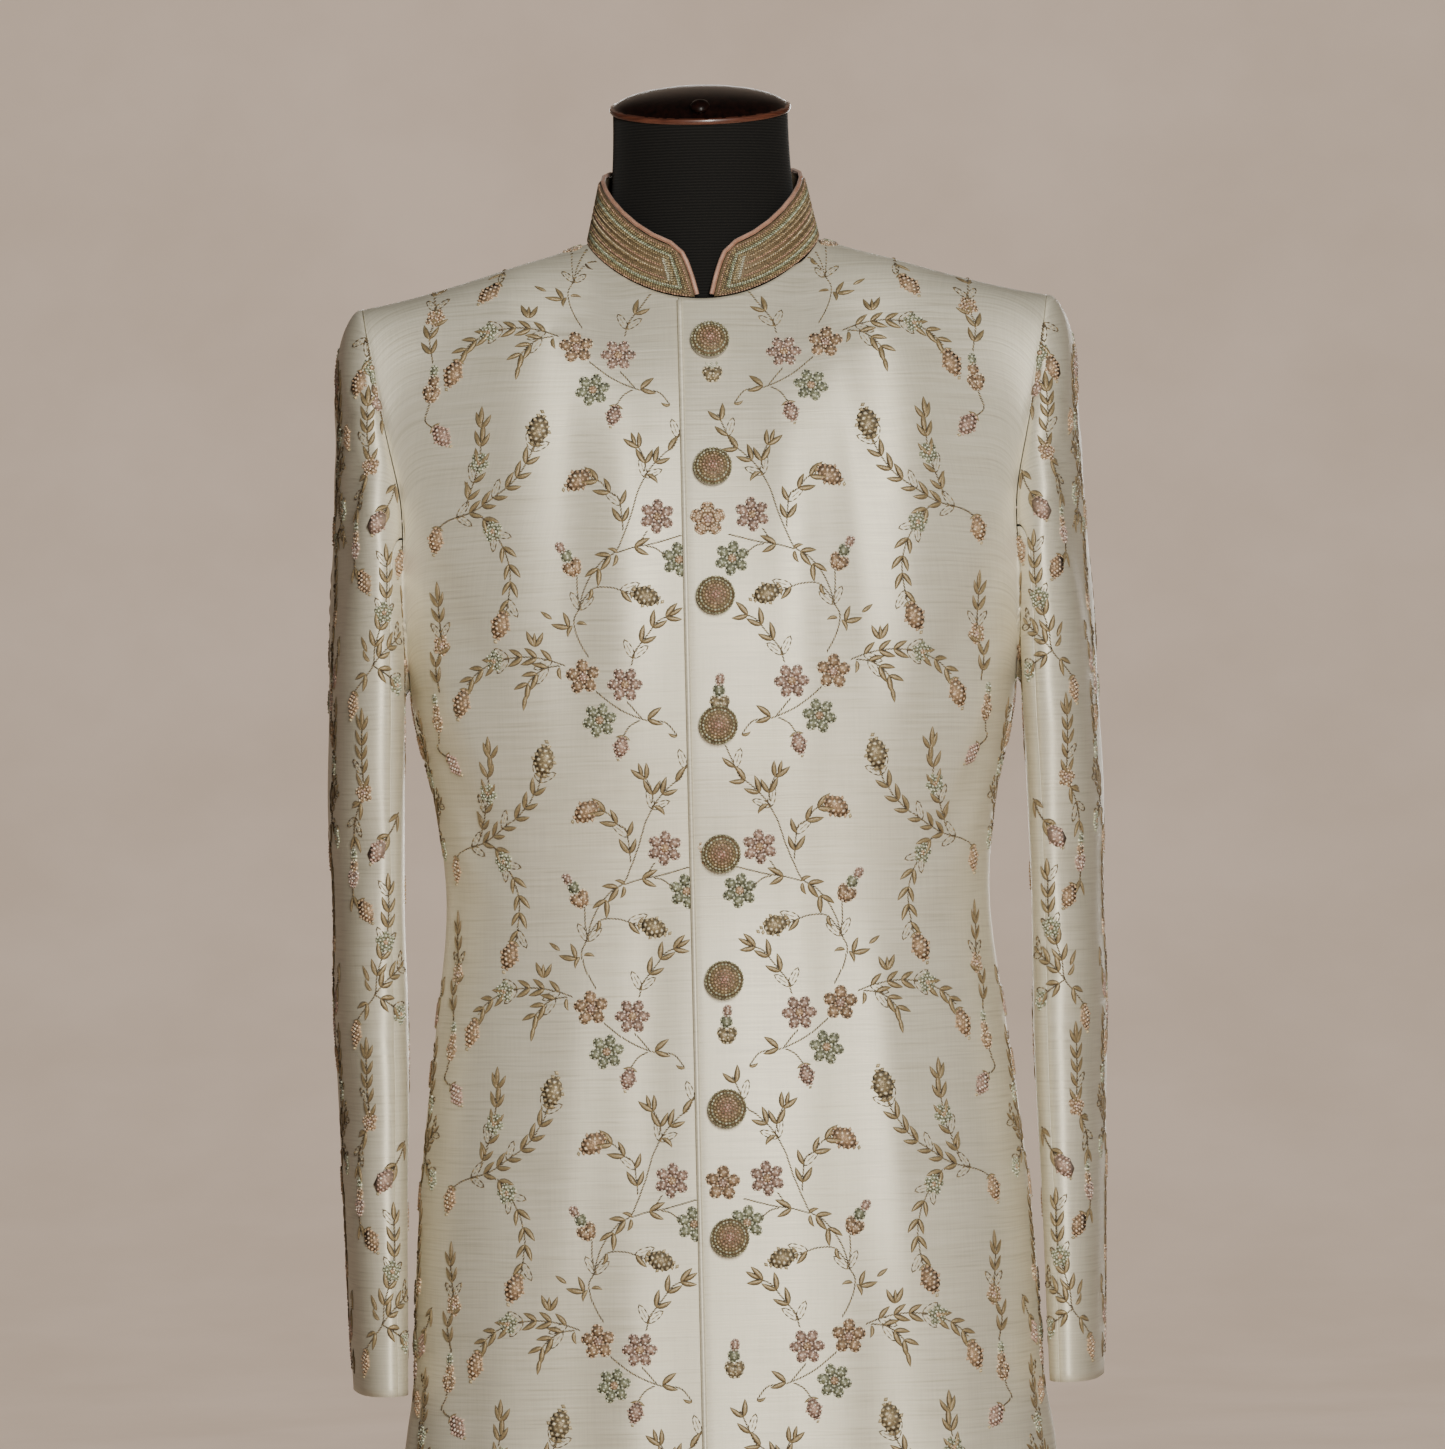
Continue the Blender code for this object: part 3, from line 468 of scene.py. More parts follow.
class Nodes:
    """A finish under way: short calls that add and join its shader nodes."""

    def __init__(self, name):
        self.finish = bpy.data.materials.new(name)
        self.finish.use_nodes = True
        self.tree = self.finish.node_tree
        self.shader = self.tree.nodes["Principled BSDF"]

    def plug(self, socket, value):
        """Joins a source to a socket, or gives the socket a plain value."""
        if isinstance(value, bpy.types.NodeSocket):
            self.tree.links.new(value, socket)
        else:
            socket.default_value = value

    def add(self, kind, output, **values):
        """A new node's output. Each value is a setting of the node or goes into an input."""
        node = self.tree.nodes.new(kind)
        for key, value in values.items():
            if hasattr(node, key):
                setattr(node, key, value)
            else:
                self.plug(node.inputs[key.replace("_", " ")], value)
        return node.outputs[output]

    def noise(self, source, stretch, detail, roughness):
        """Noise on coordinates that are stretched by one scale for each axis, or one for all."""
        scale = stretch if isinstance(stretch, tuple) else (stretch,) * 3
        vector = self.add("ShaderNodeMapping", "Vector", Vector=source, Scale=scale)
        grain = {"Scale": 1.0, "Detail": detail, "Roughness": roughness}
        return self.add("ShaderNodeTexNoise", "Fac", Vector=vector, **grain)

    def ramp(self, value, stops):
        """A colour ramp through stops, each a place and a colour or a grey."""
        node = self.tree.nodes.new("ShaderNodeValToRGB")
        elements = node.color_ramp.elements
        while len(elements) < len(stops):
            elements.new(0.5)
        for element, (place, colour) in zip(elements, stops):
            element.position = place
            element.color = (*(colour if isinstance(colour, tuple) else (colour,) * 3), 1.0)
        self.plug(node.inputs["Fac"], value)
        return node.outputs["Color"]

    def multiply(self, share, first, second):
        """The first colour, multiplied by the second as far as the share says."""
        node = self.tree.nodes.new("ShaderNodeMix")
        node.data_type = "RGBA"
        node.blend_type = "MULTIPLY"
        for place, value in ((0, share), (6, first), (7, second)):
            self.plug(node.inputs[place], value)
        return node.outputs[2]

    def maths(self, kind, *values):
        node = self.tree.nodes.new("ShaderNodeMath")
        node.operation = kind
        for socket, value in zip(node.inputs, values):
            self.plug(socket, value)
        return node.outputs[0]

    def bump(self, height, strength, distance, before=None):
        under = {"Normal": before} if before else {}
        depth = {"Strength": strength, "Distance": distance, **under}
        return self.add("ShaderNodeBump", "Normal", Height=height, **depth)

    def set(self, **values):
        for key, value in values.items():
            self.plug(self.shader.inputs[key.replace("_", " ")], value)


def make_finish(name, grains, colour, shades=(), relief=(), gloss=None, on="Object", **settings):
    """A finish from named grains of noise, each with its stretch, detail and roughness.

    The colour has its grain and its stops, or only the name of a painted layer. Each shade has
    its grain, its share and its stops, each relief its grain, strength and distance, and the
    gloss its grain, the range of it that counts and the roughness at both ends.
    """
    n = Nodes(name)
    source = n.add("ShaderNodeTexCoord", on)
    fields = {word: n.noise(source, *grain) for word, grain in grains.items()}
    word, *stops = colour
    if stops:
        base = n.ramp(fields[word], stops)
    else:
        base = n.add("ShaderNodeVertexColor", "Color", layer_name=word)
    for word, share, *stops in shades:
        base = n.multiply(share, base, n.ramp(fields[word], stops))
    normal = None
    for word, strength, distance in relief:
        normal = n.bump(fields[word], strength, distance, normal)
    if normal:
        settings["Normal"] = normal
    if gloss:
        word, *ends = gloss
        limits = dict(zip(("From_Min", "From_Max", "To_Min", "To_Max"), ends))
        settings["Roughness"] = n.add("ShaderNodeMapRange", "Result", Value=fields[word], **limits)
    n.set(Base_Color=base, **settings)
    return n.finish


JERSEY_SEAM_Z = 1.465
JERSEY_SEAM_HALF = 0.0005


def make_jersey():
    """Black jersey with fine level ribs, seamed round the neck and down the middle."""
    n = Nodes("black ribbed jersey")
    place = n.add("ShaderNodeTexCoord", "Object")
    waves = {"bands_direction": "Z", "Scale": 165.0, "Distortion": 0.6, "Detail": 1.0}
    rib = n.add("ShaderNodeTexWave", "Fac", Vector=place, **waves)
    fuzz = n.noise(place, 1800.0, 2.0, 0.6)
    knit = n.noise(place, (700.0, 700.0, 60.0), 1.0, 0.5)
    black = ((0.2, (0.0040, 0.0038, 0.0034)), (0.8, (0.0115, 0.0108, 0.0098)))
    colour = n.multiply(0.8, n.ramp(rib, black), n.ramp(fuzz, ((0.3, 0.7), (0.7, 1.3))))
    height = n.add("ShaderNodeSeparateXYZ", "Z", Vector=place)
    aside = n.add("ShaderNodeSeparateXYZ", "X", Vector=place)
    ring = n.maths("ABSOLUTE", n.maths("SUBTRACT", height, JERSEY_SEAM_Z))
    line = n.maths("LESS_THAN", ring, JERSEY_SEAM_HALF)
    down = n.maths("LESS_THAN", n.maths("ABSOLUTE", aside), JERSEY_SEAM_HALF)
    middle = n.maths("MULTIPLY", down, n.maths("LESS_THAN", height, JERSEY_SEAM_Z))
    stitched = n.maths("SUBTRACT", 1.0, n.maths("MAXIMUM", line, middle))
    normal = n.bump(knit, 0.15, 0.0003, n.bump(rib, 0.35, 0.0005))
    n.set(Base_Color=colour, Roughness=0.88, Normal=n.bump(stitched, 0.8, 0.0008, normal))
    n.set(Sheen_Weight=0.05, Sheen_Roughness=0.5, Specular_IOR_Level=0.22)
    return n.finish


# Raw silk: fine weave, long weft slubs and a cloudy lustre, on the cloth's flat size
SILK = make_finish(
    "ivory raw silk",
    {
        "slubs": ((16.0, 620.0, 1.0), 3.0, 0.6),
        "thick": ((7.0, 210.0, 1.0), 2.0, 0.5),
        "warp": ((900.0, 30.0, 1.0), 1.0, 0.5),
        "cloud": ((9.0, 5.0, 1.0), 2.0, 0.5),
        "weave": ((2600.0, 2600.0, 1.0), 0.0, 0.5),
    },
    (
        "slubs", (0.28, (0.68, 0.635, 0.495)), (0.42, (0.81, 0.76, 0.605)),
        (0.64, (0.89, 0.845, 0.695)),
    ),
    shades=(
        ("thick", 0.65, (0.64, 1.0), (0.69, 0.87), (0.74, 1.0)),
        ("warp", 0.5, (0.30, 0.90), (0.60, 1.0)),
        ("cloud", 0.8, (0.30, (0.93, 0.925, 0.90)), (0.65, 1.0)),
    ),
    relief=(("slubs", 0.32, 0.0005), ("thick", 0.22, 0.0006), ("weave", 0.10, 0.0002)),
    gloss=("slubs", 0.3, 0.7, 0.48, 0.62), on="UV", Sheen_Weight=0.10, Sheen_Roughness=0.35,
    Sheen_Tint=(1.0, 0.97, 0.90, 1.0), Specular_IOR_Level=0.65, Anisotropic=0.55,
    Anisotropic_Rotation=0.25, Metallic=0.36,
)
# The collar's ground of dull gold thread, under its couched rows
BAND = make_finish(
    "collar ground thread",
    {"strand": ((1500.0, 1500.0, 2600.0), 2.0, 0.6), "tone": (300.0, 2.0, 0.5)},
    ("strand", (0.32, (0.085, 0.055, 0.028)), (0.68, (0.300, 0.215, 0.115))),
    shades=(("tone", 0.8, (0.3, 0.75), (0.7, 1.2)),), relief=(("strand", 0.5, 0.0004),),
    Roughness=0.55, Metallic=0.25, Sheen_Weight=0.15, Sheen_Roughness=0.4,
)
# The buttons' silk sides: ivory silk, painted grey as the shade at the buttons' foot
BUTTON_SILK_AND_SHADE = make_finish(
    "button silk and painted shade",
    {"weave": ((1100.0, 1100.0, 2400.0), 2.0, 0.6), "tone": (160.0, 2.0, 0.5)},
    ("weave", (0.3, (0.30, 0.27, 0.235)), (0.7, (0.47, 0.43, 0.375))),
    shades=(("tone", 0.8, (0.3, 0.8), (0.7, 1.1)),), relief=(("weave", 0.25, 0.0003),),
    Roughness=0.45, Sheen_Weight=0.2, Sheen_Roughness=0.35,
)
# The cap's red-brown turned rim
CAP_RIM = make_finish(
    "red-brown rim",
    {"grain": ((60.0, 60.0, 900.0), 3.0, 0.6), "rub": (90.0, 2.0, 0.5)},
    ("grain", (0.35, (0.075, 0.020, 0.011)), (0.65, (0.150, 0.048, 0.026))),
    shades=(("rub", 0.8, (0.3, 0.8), (0.7, 1.1)),), relief=(("grain", 0.08, 0.0002),),
    Roughness=0.38, Coat_Weight=0.35, Coat_Roughness=0.15,
)
# Zari and silk thread: the colour is painted on each stitch, with fine wound strands
THREAD = make_finish(
    "embroidery thread",
    {"fleck": (900.0, 2.0, 0.6), "strand": (3200.0, 1.0, 0.5)},
    ("thread",),
    shades=(("fleck", 0.75, (0.32, 0.65), (0.52, 1.0), (0.72, 1.4)),),
    relief=(("strand", 0.5, 0.0003),), gloss=("fleck", 0.3, 0.7, 0.26, 0.50),
    Metallic=0.30, Sheen_Weight=0.1, Specular_IOR_Level=0.6,
)
# Pink-peach silk piping cord
PIPING = make_finish(
    "pink-peach piping",
    {"strand": ((1500.0, 1500.0, 2400.0), 1.0, 0.5), "tone": (120.0, 2.0, 0.6)},
    ("tone", (0.3, (0.42, 0.210, 0.135)), (0.7, (0.60, 0.335, 0.235))),
    shades=(("strand", 0.7, (0.35, 0.72), (0.65, 1.1)),), relief=(("strand", 0.5, 0.0004),),
    Roughness=0.48, Sheen_Weight=0.3, Sheen_Roughness=0.4,
)
JERSEY = make_jersey()
# Dark turned wood, polished
MAHOGANY = make_finish(
    "polished mahogany",
    {"grain": ((260.0, 22.0, 260.0), 4.0, 0.65), "tone": (30.0, 2.0, 0.5)},
    ("grain", (0.35, (0.0045, 0.0022, 0.0018)), (0.65, (0.016, 0.0055, 0.0040))),
    shades=(("tone", 0.6, (0.3, 0.7), (0.7, 1.2)),), relief=(("grain", 0.06, 0.0003),),
    Roughness=0.36, Specular_IOR_Level=0.14, Coat_Weight=0.06, Coat_Roughness=0.12,
)
# Black satin enamel on steel, a little rubbed
STAND = make_finish(
    "black enamelled steel",
    {"speck": (1400.0, 2.0, 0.6), "rub": (14.0, 4.0, 0.65)},
    ("rub", (0.45, (0.016, 0.016, 0.017)), (0.75, (0.040, 0.039, 0.038))),
    relief=(("speck", 0.12, 0.0002),), gloss=("rub", 0.35, 0.7, 0.32, 0.52),
    Metallic=0.55, Coat_Weight=0.25, Coat_Roughness=0.25,
)


# Meshes from arrays


def deselect_all():
    for obj in bpy.context.selected_objects:
        obj.select_set(False)


def dress(obj, slot, *replaced):
    """Joins a piece to the part's one body, in place of the CAD node that it covers."""
    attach(obj, "root")
    if replaced:
        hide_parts(*replaced)


def make_object(name, points, faces, finish):
    """One smooth object from arrays of points and of faces with the same number of corners."""
    points = np.asarray(points, np.float32)
    faces = np.asarray(faces, np.int32)
    mesh = bpy.data.meshes.new(name)
    mesh.vertices.add(len(points))
    mesh.vertices.foreach_set("co", points.ravel())
    mesh.loops.add(faces.size)
    mesh.loops.foreach_set("vertex_index", faces.ravel())
    mesh.polygons.add(len(faces))
    starts = np.arange(0, faces.size, faces.shape[1], dtype=np.int32)
    mesh.polygons.foreach_set("loop_start", starts)
    mesh.polygons.foreach_set("use_smooth", np.full(len(faces), True))
    mesh.update(calc_edges=True)
    mesh.validate()
    mesh.materials.append(finish)
    obj = bpy.data.objects.new(name, mesh)
    bpy.context.scene.collection.objects.link(obj)
    return obj


def face_outwards(obj, fill=False):
    """Turns every face outwards, after filling any open rims."""
    bm = bmesh.new()
    bm.from_mesh(obj.data)
    if fill:
        bmesh.ops.holes_fill(bm, edges=bm.edges, sides=0)
    bmesh.ops.recalc_face_normals(bm, faces=bm.faces)
    bm.to_mesh(obj.data)
    bm.free()


def unit(vectors):
    lengths = np.linalg.norm(vectors, axis=-1, keepdims=True)
    return vectors / np.maximum(lengths, 1e-12)


def grid_lengths(grid, axis):
    """Distance along the grid's lines from the first point of each."""
    steps = np.linalg.norm(np.diff(grid, axis=axis), axis=-1)
    first = np.zeros_like(np.take(steps, [0], axis=axis))
    return np.cumsum(np.concatenate([first, steps], axis=axis), axis=axis)


def grid_normals(grid, sense):
    return sense * unit(np.cross(np.gradient(grid, axis=0), np.gradient(grid, axis=1)))


def grid_quads(rows, columns):
    index = np.arange(rows * columns).reshape(rows, columns)
    corners = (index[:-1, :-1], index[:-1, 1:], index[1:, 1:], index[1:, :-1])
    return index, np.stack([corner.ravel() for corner in corners], 1)


def seam_dip(lengths, depth):
    """How far the cloth dips beside a seam, at these lengths from it."""
    return depth * np.exp(-((lengths / SEAM_SOFTNESS) ** 2))


def shell_object(name, outer, normals, thickness, finish):
    """A closed thin shell inside a grid of outer points, with its flat size in metres as UV."""
    rows, columns = outer.shape[:2]
    inner = outer - normals * thickness
    points = np.concatenate([outer.reshape(-1, 3), inner.reshape(-1, 3)])
    index, quads = grid_quads(rows, columns)
    front = quads[:, [0, 3, 2, 1]]
    facing = np.cross(
        points[front[:, 1]] - points[front[:, 0]], points[front[:, 2]] - points[front[:, 0]]
    )
    middle = len(front) // 2 + columns // 2
    if facing[middle] @ normals.reshape(-1, 3)[front[middle, 0]] < 0:
        front = front[:, ::-1]
    back = front[:, ::-1] + rows * columns
    rim = [*index[0, :], *index[1:, -1], *index[-1, -2::-1], *index[-2:0:-1, 0]]
    pairs = zip(rim, rim[1:] + rim[:1])
    sides = [(k, m, m + rows * columns, k + rows * columns) for k, m in pairs]
    edge = {tuple(pair) for quad in front[:columns] for pair in zip(quad, np.roll(quad, -1))}
    if (rim[0], rim[1]) in edge:
        sides = [quad[::-1] for quad in sides]
    obj = make_object(name, points, np.concatenate([front, back, np.array(sides)]), finish)
    flat = np.stack([grid_lengths(outer, 1), grid_lengths(outer[::-1], 0)[::-1]], -1)
    flat = np.tile(flat.reshape(-1, 2), (2, 1))
    corner = np.empty(len(obj.data.loops), np.int32)
    obj.data.loops.foreach_get("vertex_index", corner)
    spread = obj.data.uv_layers.new(name="UVMap")
    spread.data.foreach_set("uv", flat[corner].astype(np.float32).ravel())
    return obj


def finer(values, parts):
    """The same run of values, with each step cut into equal parts."""
    run = []
    for first, last in zip(values, values[1:]):
        run += [blend(first, last, k / parts) for k in range(parts)]
    return run + [values[-1]]


# Cloth shells

SHELL = 0.0016
SEAM_DIP = 0.0007
SEAM_SOFTNESS = 0.0022
EDGE_ROLL = 0.0006
EDGE_SHARES = (0.9840, 0.9900, 0.9935, 0.9960, 0.9980)
LAP_SHARES = (0.0020, 0.0045, 0.0080)
SHOULDER_ROWS = (0.008, 0.018, 0.035)
FRONT_COLUMNS = 62
BACK_COLUMNS = 54
ROW_PARTS = 5
CREASE_FADE = 0.35
CREASE_REACH = 3
SIDE_CALM = 0.08
CUFF_CALM = 0.12
# Creases in millimetres: x and height at one end, the same at the other, half width, and the
# height of the ridge or trough
LEFT_FRONT_CREASES = (
    (52, 1452, 64, 1060, 17, 2), (88, 1450, 104, 1120, 15, -1.8), (128, 1420, 138, 1130, 17, 1.7),
    (205, 1300, 120, 1130, 11, -2.2), (198, 1225, 140, 1080, 9, 1.8),
    (196, 1180, 125, 1030, 10, -1.6), (186, 1120, 110, 1000, 9, 1.2),
    (30, 1130, 46, 840, 14, -1.2), (100, 1060, 118, 760, 15, 2), (70, 900, 82, 440, 20, 2.2),
    (150, 860, 176, 400, 18, 2.4), (26, 760, 30, 400, 16, -1.6),
)
RIGHT_FRONT_CREASES = (
    (50, 1450, 58, 1100, 16, 2.1), (82, 1452, 94, 1090, 16, -2.2), (120, 1424, 130, 1150, 15, 1.6),
    (203, 1310, 128, 1150, 12, -2), (198, 1240, 132, 1090, 10, 2), (195, 1170, 130, 1040, 9, -1.7),
    (182, 1100, 118, 1010, 9, 1.2), (40, 1100, 50, 800, 15, -1.4), (92, 1040, 110, 740, 16, 1.8),
    (60, 880, 74, 430, 19, 2.3), (142, 840, 170, 400, 17, 2.2),
)
LEFT_BACK_CREASES = (
    (60, 1440, 70, 1120, 18, 2), (100, 1430, 112, 1160, 15, -1.8),
    (198, 1270, 110, 1120, 12, -2.2), (196, 1200, 120, 1060, 10, 1.8),
    (188, 1130, 105, 1020, 10, -1.5), (40, 1090, 34, 880, 13, -1.4), (90, 1020, 102, 640, 17, 2.2),
    (50, 860, 58, 420, 18, -1.8), (145, 850, 170, 400, 18, 2.4),
)
RIGHT_BACK_CREASES = (
    (56, 1445, 66, 1150, 17, 1.8), (106, 1430, 116, 1180, 16, -1.9),
    (198, 1285, 120, 1140, 11, -2), (196, 1190, 128, 1050, 10, 1.9),
    (185, 1110, 100, 1010, 11, -1.4), (36, 1060, 30, 850, 14, -1.3), (84, 990, 96, 600, 18, 2),
    (138, 820, 162, 400, 19, 2.3),
)


def crease_height(creases, x, z):
    """How far soft ridges and troughs move the cloth. Each runs from one place to another."""
    total = 0.0
    for x1, z1, x2, z2, half_width, height in creases:
        run = math.hypot(x2 - x1, z2 - z1)
        along = ((x - x1) * (x2 - x1) + (z - z1) * (z2 - z1)) / run**2
        off = ((x - x1) * (z2 - z1) - (z - z1) * (x2 - x1)) / run
        if not 0 < along < 1 or abs(off) > CREASE_REACH * half_width:
            continue
        fade = ease(min(along, 1 - along) / CREASE_FADE)
        total += height * fade * math.exp(-((off / half_width) ** 2))
    return total


def panel_rows():
    skirt = [1 + (ARMPIT_Z - height) / (ARMPIT_Z - HEM_Z) for height in BODY_ROWS]
    return sorted({*finer([*YOKE_ROWS, *skirt], ROW_PARTS), *SHOULDER_ROWS})


def body_sheet(side, hand, columns, reach, lift, flutes, creases):
    """Dense outer points of one front or back, with its soft creases."""
    shares = sorted({*[k / columns for k in range(columns + 1)], *EDGE_SHARES, *LAP_SHARES})
    creases = [[value / 1000 for value in crease] for crease in creases]
    grid = []
    for along in panel_rows():
        start = across_at(-reach, along, side) if reach else 0.0
        line = []
        for share in shares:
            across = blend(start, 1.0, share**COLUMN_CROWDING)
            point = body_point(across, along, side)
            raised = lift * (1 - ease((point.x - LAP_FADE[0]) / (LAP_FADE[1] - LAP_FADE[0])))
            raised -= flute_depth(flutes, across, point.z)
            raised += crease_height(creases, point.x, point.z) * ease((1 - share) / SIDE_CALM)
            if raised:
                point = point + level_lift(across, along, side) * raised
            line.append((hand * point.x, point.y + side * SEAM_GAP / 2, point.z))
        grid.append(line)
    return np.array(grid)


def body_shell(name, grid, sense, centre_seam):
    """A front or back that dips a little at its seams, so that they read as sewn."""
    normals = grid_normals(grid, sense)
    along = grid_lengths(grid, 1)
    beside_neck = np.abs(grid[..., 0]) > NECK_HALF_WIDTH
    dip = seam_dip(along[:, -1:] - along, SEAM_DIP)
    dip += seam_dip(np.where(beside_neck, grid_lengths(grid, 0), 1.0), SEAM_DIP)
    dip += seam_dip(along, SEAM_DIP if centre_seam else EDGE_ROLL)
    grid = grid - normals * dip[..., None]
    facing = normals.copy()
    if centre_seam:
        facing[:, 0, 0] = 0.0
    below = sum(1 for row in panel_rows() if row < 1.0)
    facing[below:, -1, 1] = 0.0
    facing[0, np.abs(grid[0, :, 0]) > NECK_HALF_WIDTH - STEP, 1] = 0.0
    return shell_object(name, grid, unit(facing), SHELL, SILK)


def make_body():
    """The four body shells. Returns their outer points for the embroidery to lie on."""
    lift = WALL + LAP_GAP
    cuts = (
        ("front_left", -1, 1, FRONT_COLUMNS, LAP_REACH, lift, FRONT_FLUTES, LEFT_FRONT_CREASES),
        (
            "front_right", -1, -1, FRONT_COLUMNS, UNDERLAP_REACH, 0.0, FRONT_FLUTES,
            RIGHT_FRONT_CREASES,
        ),
        ("back_left", 1, 1, BACK_COLUMNS, 0.0, 0.0, BACK_FLUTES, LEFT_BACK_CREASES),
        ("back_right", 1, -1, BACK_COLUMNS, 0.0, 0.0, BACK_FLUTES, RIGHT_BACK_CREASES),
    )
    grids = {}
    for node, side, hand, *cut in cuts:
        grid = body_sheet(side, hand, *cut)
        if side > 0:
            grid[..., 0] += hand * SEAM_GAP / 2
        dress(body_shell(f"silk_{node}", grid, -side * hand, side > 0), "silk", node)
        grids[node] = grid
    return grids


# Sleeve shells

SLEEVE_COLUMN_TURN = 3.2
SEAM_TURNS = (0.6, 1.4, 2.4)
HEAD_SHARES = (0.0, 0.015, 0.035, 0.06, 0.1, 0.16, 0.23, 0.3, 0.38, 0.46, 0.54, 0.62, 0.7, 0.8, 0.9)
CAP_SHARES = 18
ARM_SHARES = 70
FINE_FOLDS = {
    # turn, height, half width in turn, half height, slant in turn per metre, depth
    1: (
        (48, 1.372, 20, 0.016, 520, 0.0020), (78, 1.345, 18, 0.014, 560, 0.0024),
        (64, 1.300, 22, 0.013, 480, -0.0016), (96, 1.215, 24, 0.016, 300, 0.0020),
        (82, 1.155, 26, 0.013, 340, -0.0014), (60, 1.052, 28, 0.014, 300, 0.0018),
        (92, 1.020, 22, 0.012, 260, -0.0012), (116, 0.985, 26, 0.015, -200, 0.0016),
        (54, 0.868, 24, 0.016, 240, 0.0013), (88, 0.800, 20, 0.018, 180, 0.0010),
        (210, 1.075, 30, 0.014, -260, 0.0022), (236, 1.020, 26, 0.013, 240, 0.0018),
        (280, 1.240, 24, 0.015, -340, 0.0018), (330, 1.355, 20, 0.015, -520, 0.0018),
    ),
    -1: (
        (44, 1.362, 22, 0.017, 540, 0.0026), (74, 1.330, 20, 0.015, 560, 0.0022),
        (58, 1.288, 20, 0.013, 500, -0.0018), (88, 1.190, 26, 0.015, 320, 0.0018),
        (70, 1.078, 26, 0.015, 280, 0.0020), (98, 1.046, 22, 0.012, 300, -0.0014),
        (110, 0.955, 28, 0.016, -180, 0.0014), (50, 0.905, 26, 0.015, 260, 0.0016),
        (80, 0.772, 22, 0.017, 200, 0.0012), (206, 1.050, 30, 0.015, -240, 0.0020),
        (240, 0.990, 28, 0.014, 220, 0.0017), (286, 1.225, 26, 0.016, -320, 0.0020),
        (326, 1.345, 22, 0.015, -540, 0.0016),
    ),
}


def sleeve_sheet(turns, rows, edges, hand):
    grid = []
    for along in rows:
        line = []
        for turn in turns:
            point = sleeve_point(turn, along, edges)
            if along > 0:
                sink = fold_depth(FINE_FOLDS[hand], turn, point.z) * min(1.0, along)
                sink *= ease((3 - along) / CUFF_CALM)
                angle = math.radians(turn)
                point.x -= math.cos(angle) * sink
                point.y += math.sin(angle) * sink
            line.append((hand * point.x, point.y, point.z))
        grid.append(line)
    return np.array(grid)


def make_sleeves():
    """The four sleeve shells. Returns each arm's outer points for the embroidery to lie on."""
    fine = sorted({*finer([*YOKE_ROWS, 1.0], ROW_PARTS)})
    edges = {side: armhole_edge(side, fine) for side in (-1, 1)}
    rows = [*HEAD_SHARES, *[1 + k / CAP_SHARES for k in range(CAP_SHARES)]]
    rows += [2 + k / ARM_SHARES for k in range(ARM_SHARES + 1)]
    cuts = (
        ("sleeve_top", BACK_SEAM_TURN - 360 + SEAM_TURN_GAP, FRONT_SEAM_TURN - SEAM_TURN_GAP),
        ("sleeve_under", FRONT_SEAM_TURN + SEAM_TURN_GAP, BACK_SEAM_TURN - SEAM_TURN_GAP),
    )
    grids = {}
    for word, hand in (("left", 1), ("right", -1)):
        for piece, first, last in cuts:
            steps = round((last - first) / SLEEVE_COLUMN_TURN)
            turns = {blend(first, last, k / steps) for k in range(steps + 1)}
            turns |= {first + step for step in SEAM_TURNS} | {last - step for step in SEAM_TURNS}
            grid = sleeve_sheet(sorted(turns), rows, edges, hand)
            normals = grid_normals(grid, -hand)
            across = grid_lengths(grid, 1)
            dip = seam_dip(across, SEAM_DIP) + seam_dip(across[:, -1:] - across, SEAM_DIP)
            dip += seam_dip(grid_lengths(grid, 0), SEAM_DIP)
            dip[0] = 0.0
            outer = grid - normals * dip[..., None]
            normals[0, :, 0] = 0.0
            obj = shell_object(f"silk_{piece}_{word}", outer, unit(normals), SHELL, SILK)
            dress(obj, "silk", f"{piece}_{word}")
            grids[f"{piece}_{word}"] = grid
    return grids


# Collar

COLLAR_FINE_COLUMNS = 140
COLLAR_FINE_ROWS = 14
COLLAR_SKIN = 0.0018


def make_collar_base():
    """The collar's padded band, which its rows of cord lie on."""
    shares = [k / COLLAR_FINE_COLUMNS for k in range(COLLAR_FINE_COLUMNS + 1)]
    highs = [k / COLLAR_FINE_ROWS for k in range(COLLAR_FINE_ROWS + 1)]
    outer, facing = (
        np.array([[tuple(find(share, high)) for share in shares] for high in highs])
        for find in (collar_point, collar_normal)
    )
    band = shell_object("collar_band", outer, facing, COLLAR_SKIN, BAND)
    dress(band, "collar_embroidery", "collar")


LOOPS = (
    # colours of two strands, from the collar's edge inwards
    ((0.480, 0.300, 0.190), (0.300, 0.215, 0.105)),
    ((0.400, 0.310, 0.160), (0.210, 0.155, 0.075)),
    ((0.330, 0.370, 0.230), (0.560, 0.580, 0.430)),
    ((0.250, 0.190, 0.090), (0.430, 0.340, 0.180)),
)
INNER_ROWS = (
    ((0.560, 0.340, 0.230), (0.320, 0.235, 0.120)),
    ((0.300, 0.220, 0.110), (0.640, 0.520, 0.330)),
    ((0.580, 0.350, 0.240), (0.360, 0.260, 0.130)),
    ((0.560, 0.420, 0.250), (0.240, 0.175, 0.085)),
)
END_ROWS = ((0.480, 0.420, 0.260), (0.620, 0.600, 0.460))
LOOP_PITCH = 2.55
BASE_MARGIN = 1.25
EDGE_MARGIN = 2.9
END_PITCH = 2.1
END_SPACING = 1.9
END_GAP = 0.4
NARROW_SPACING = 2.0
ROW_PITCH = 1.85
ROW_SLANT = 24.0
LOOK_AHEAD = 0.6
ROW_BEAD_LENGTH = 0.00112
ROW_BEAD_WIDTH = 0.00027
ROW_BEAD_HEIGHT = 0.00090
BRIGHTNESS = (0.72, 1.0, 1.32, 0.9)
LENGTH_STATIONS = 40
HIGH_STATIONS = 9


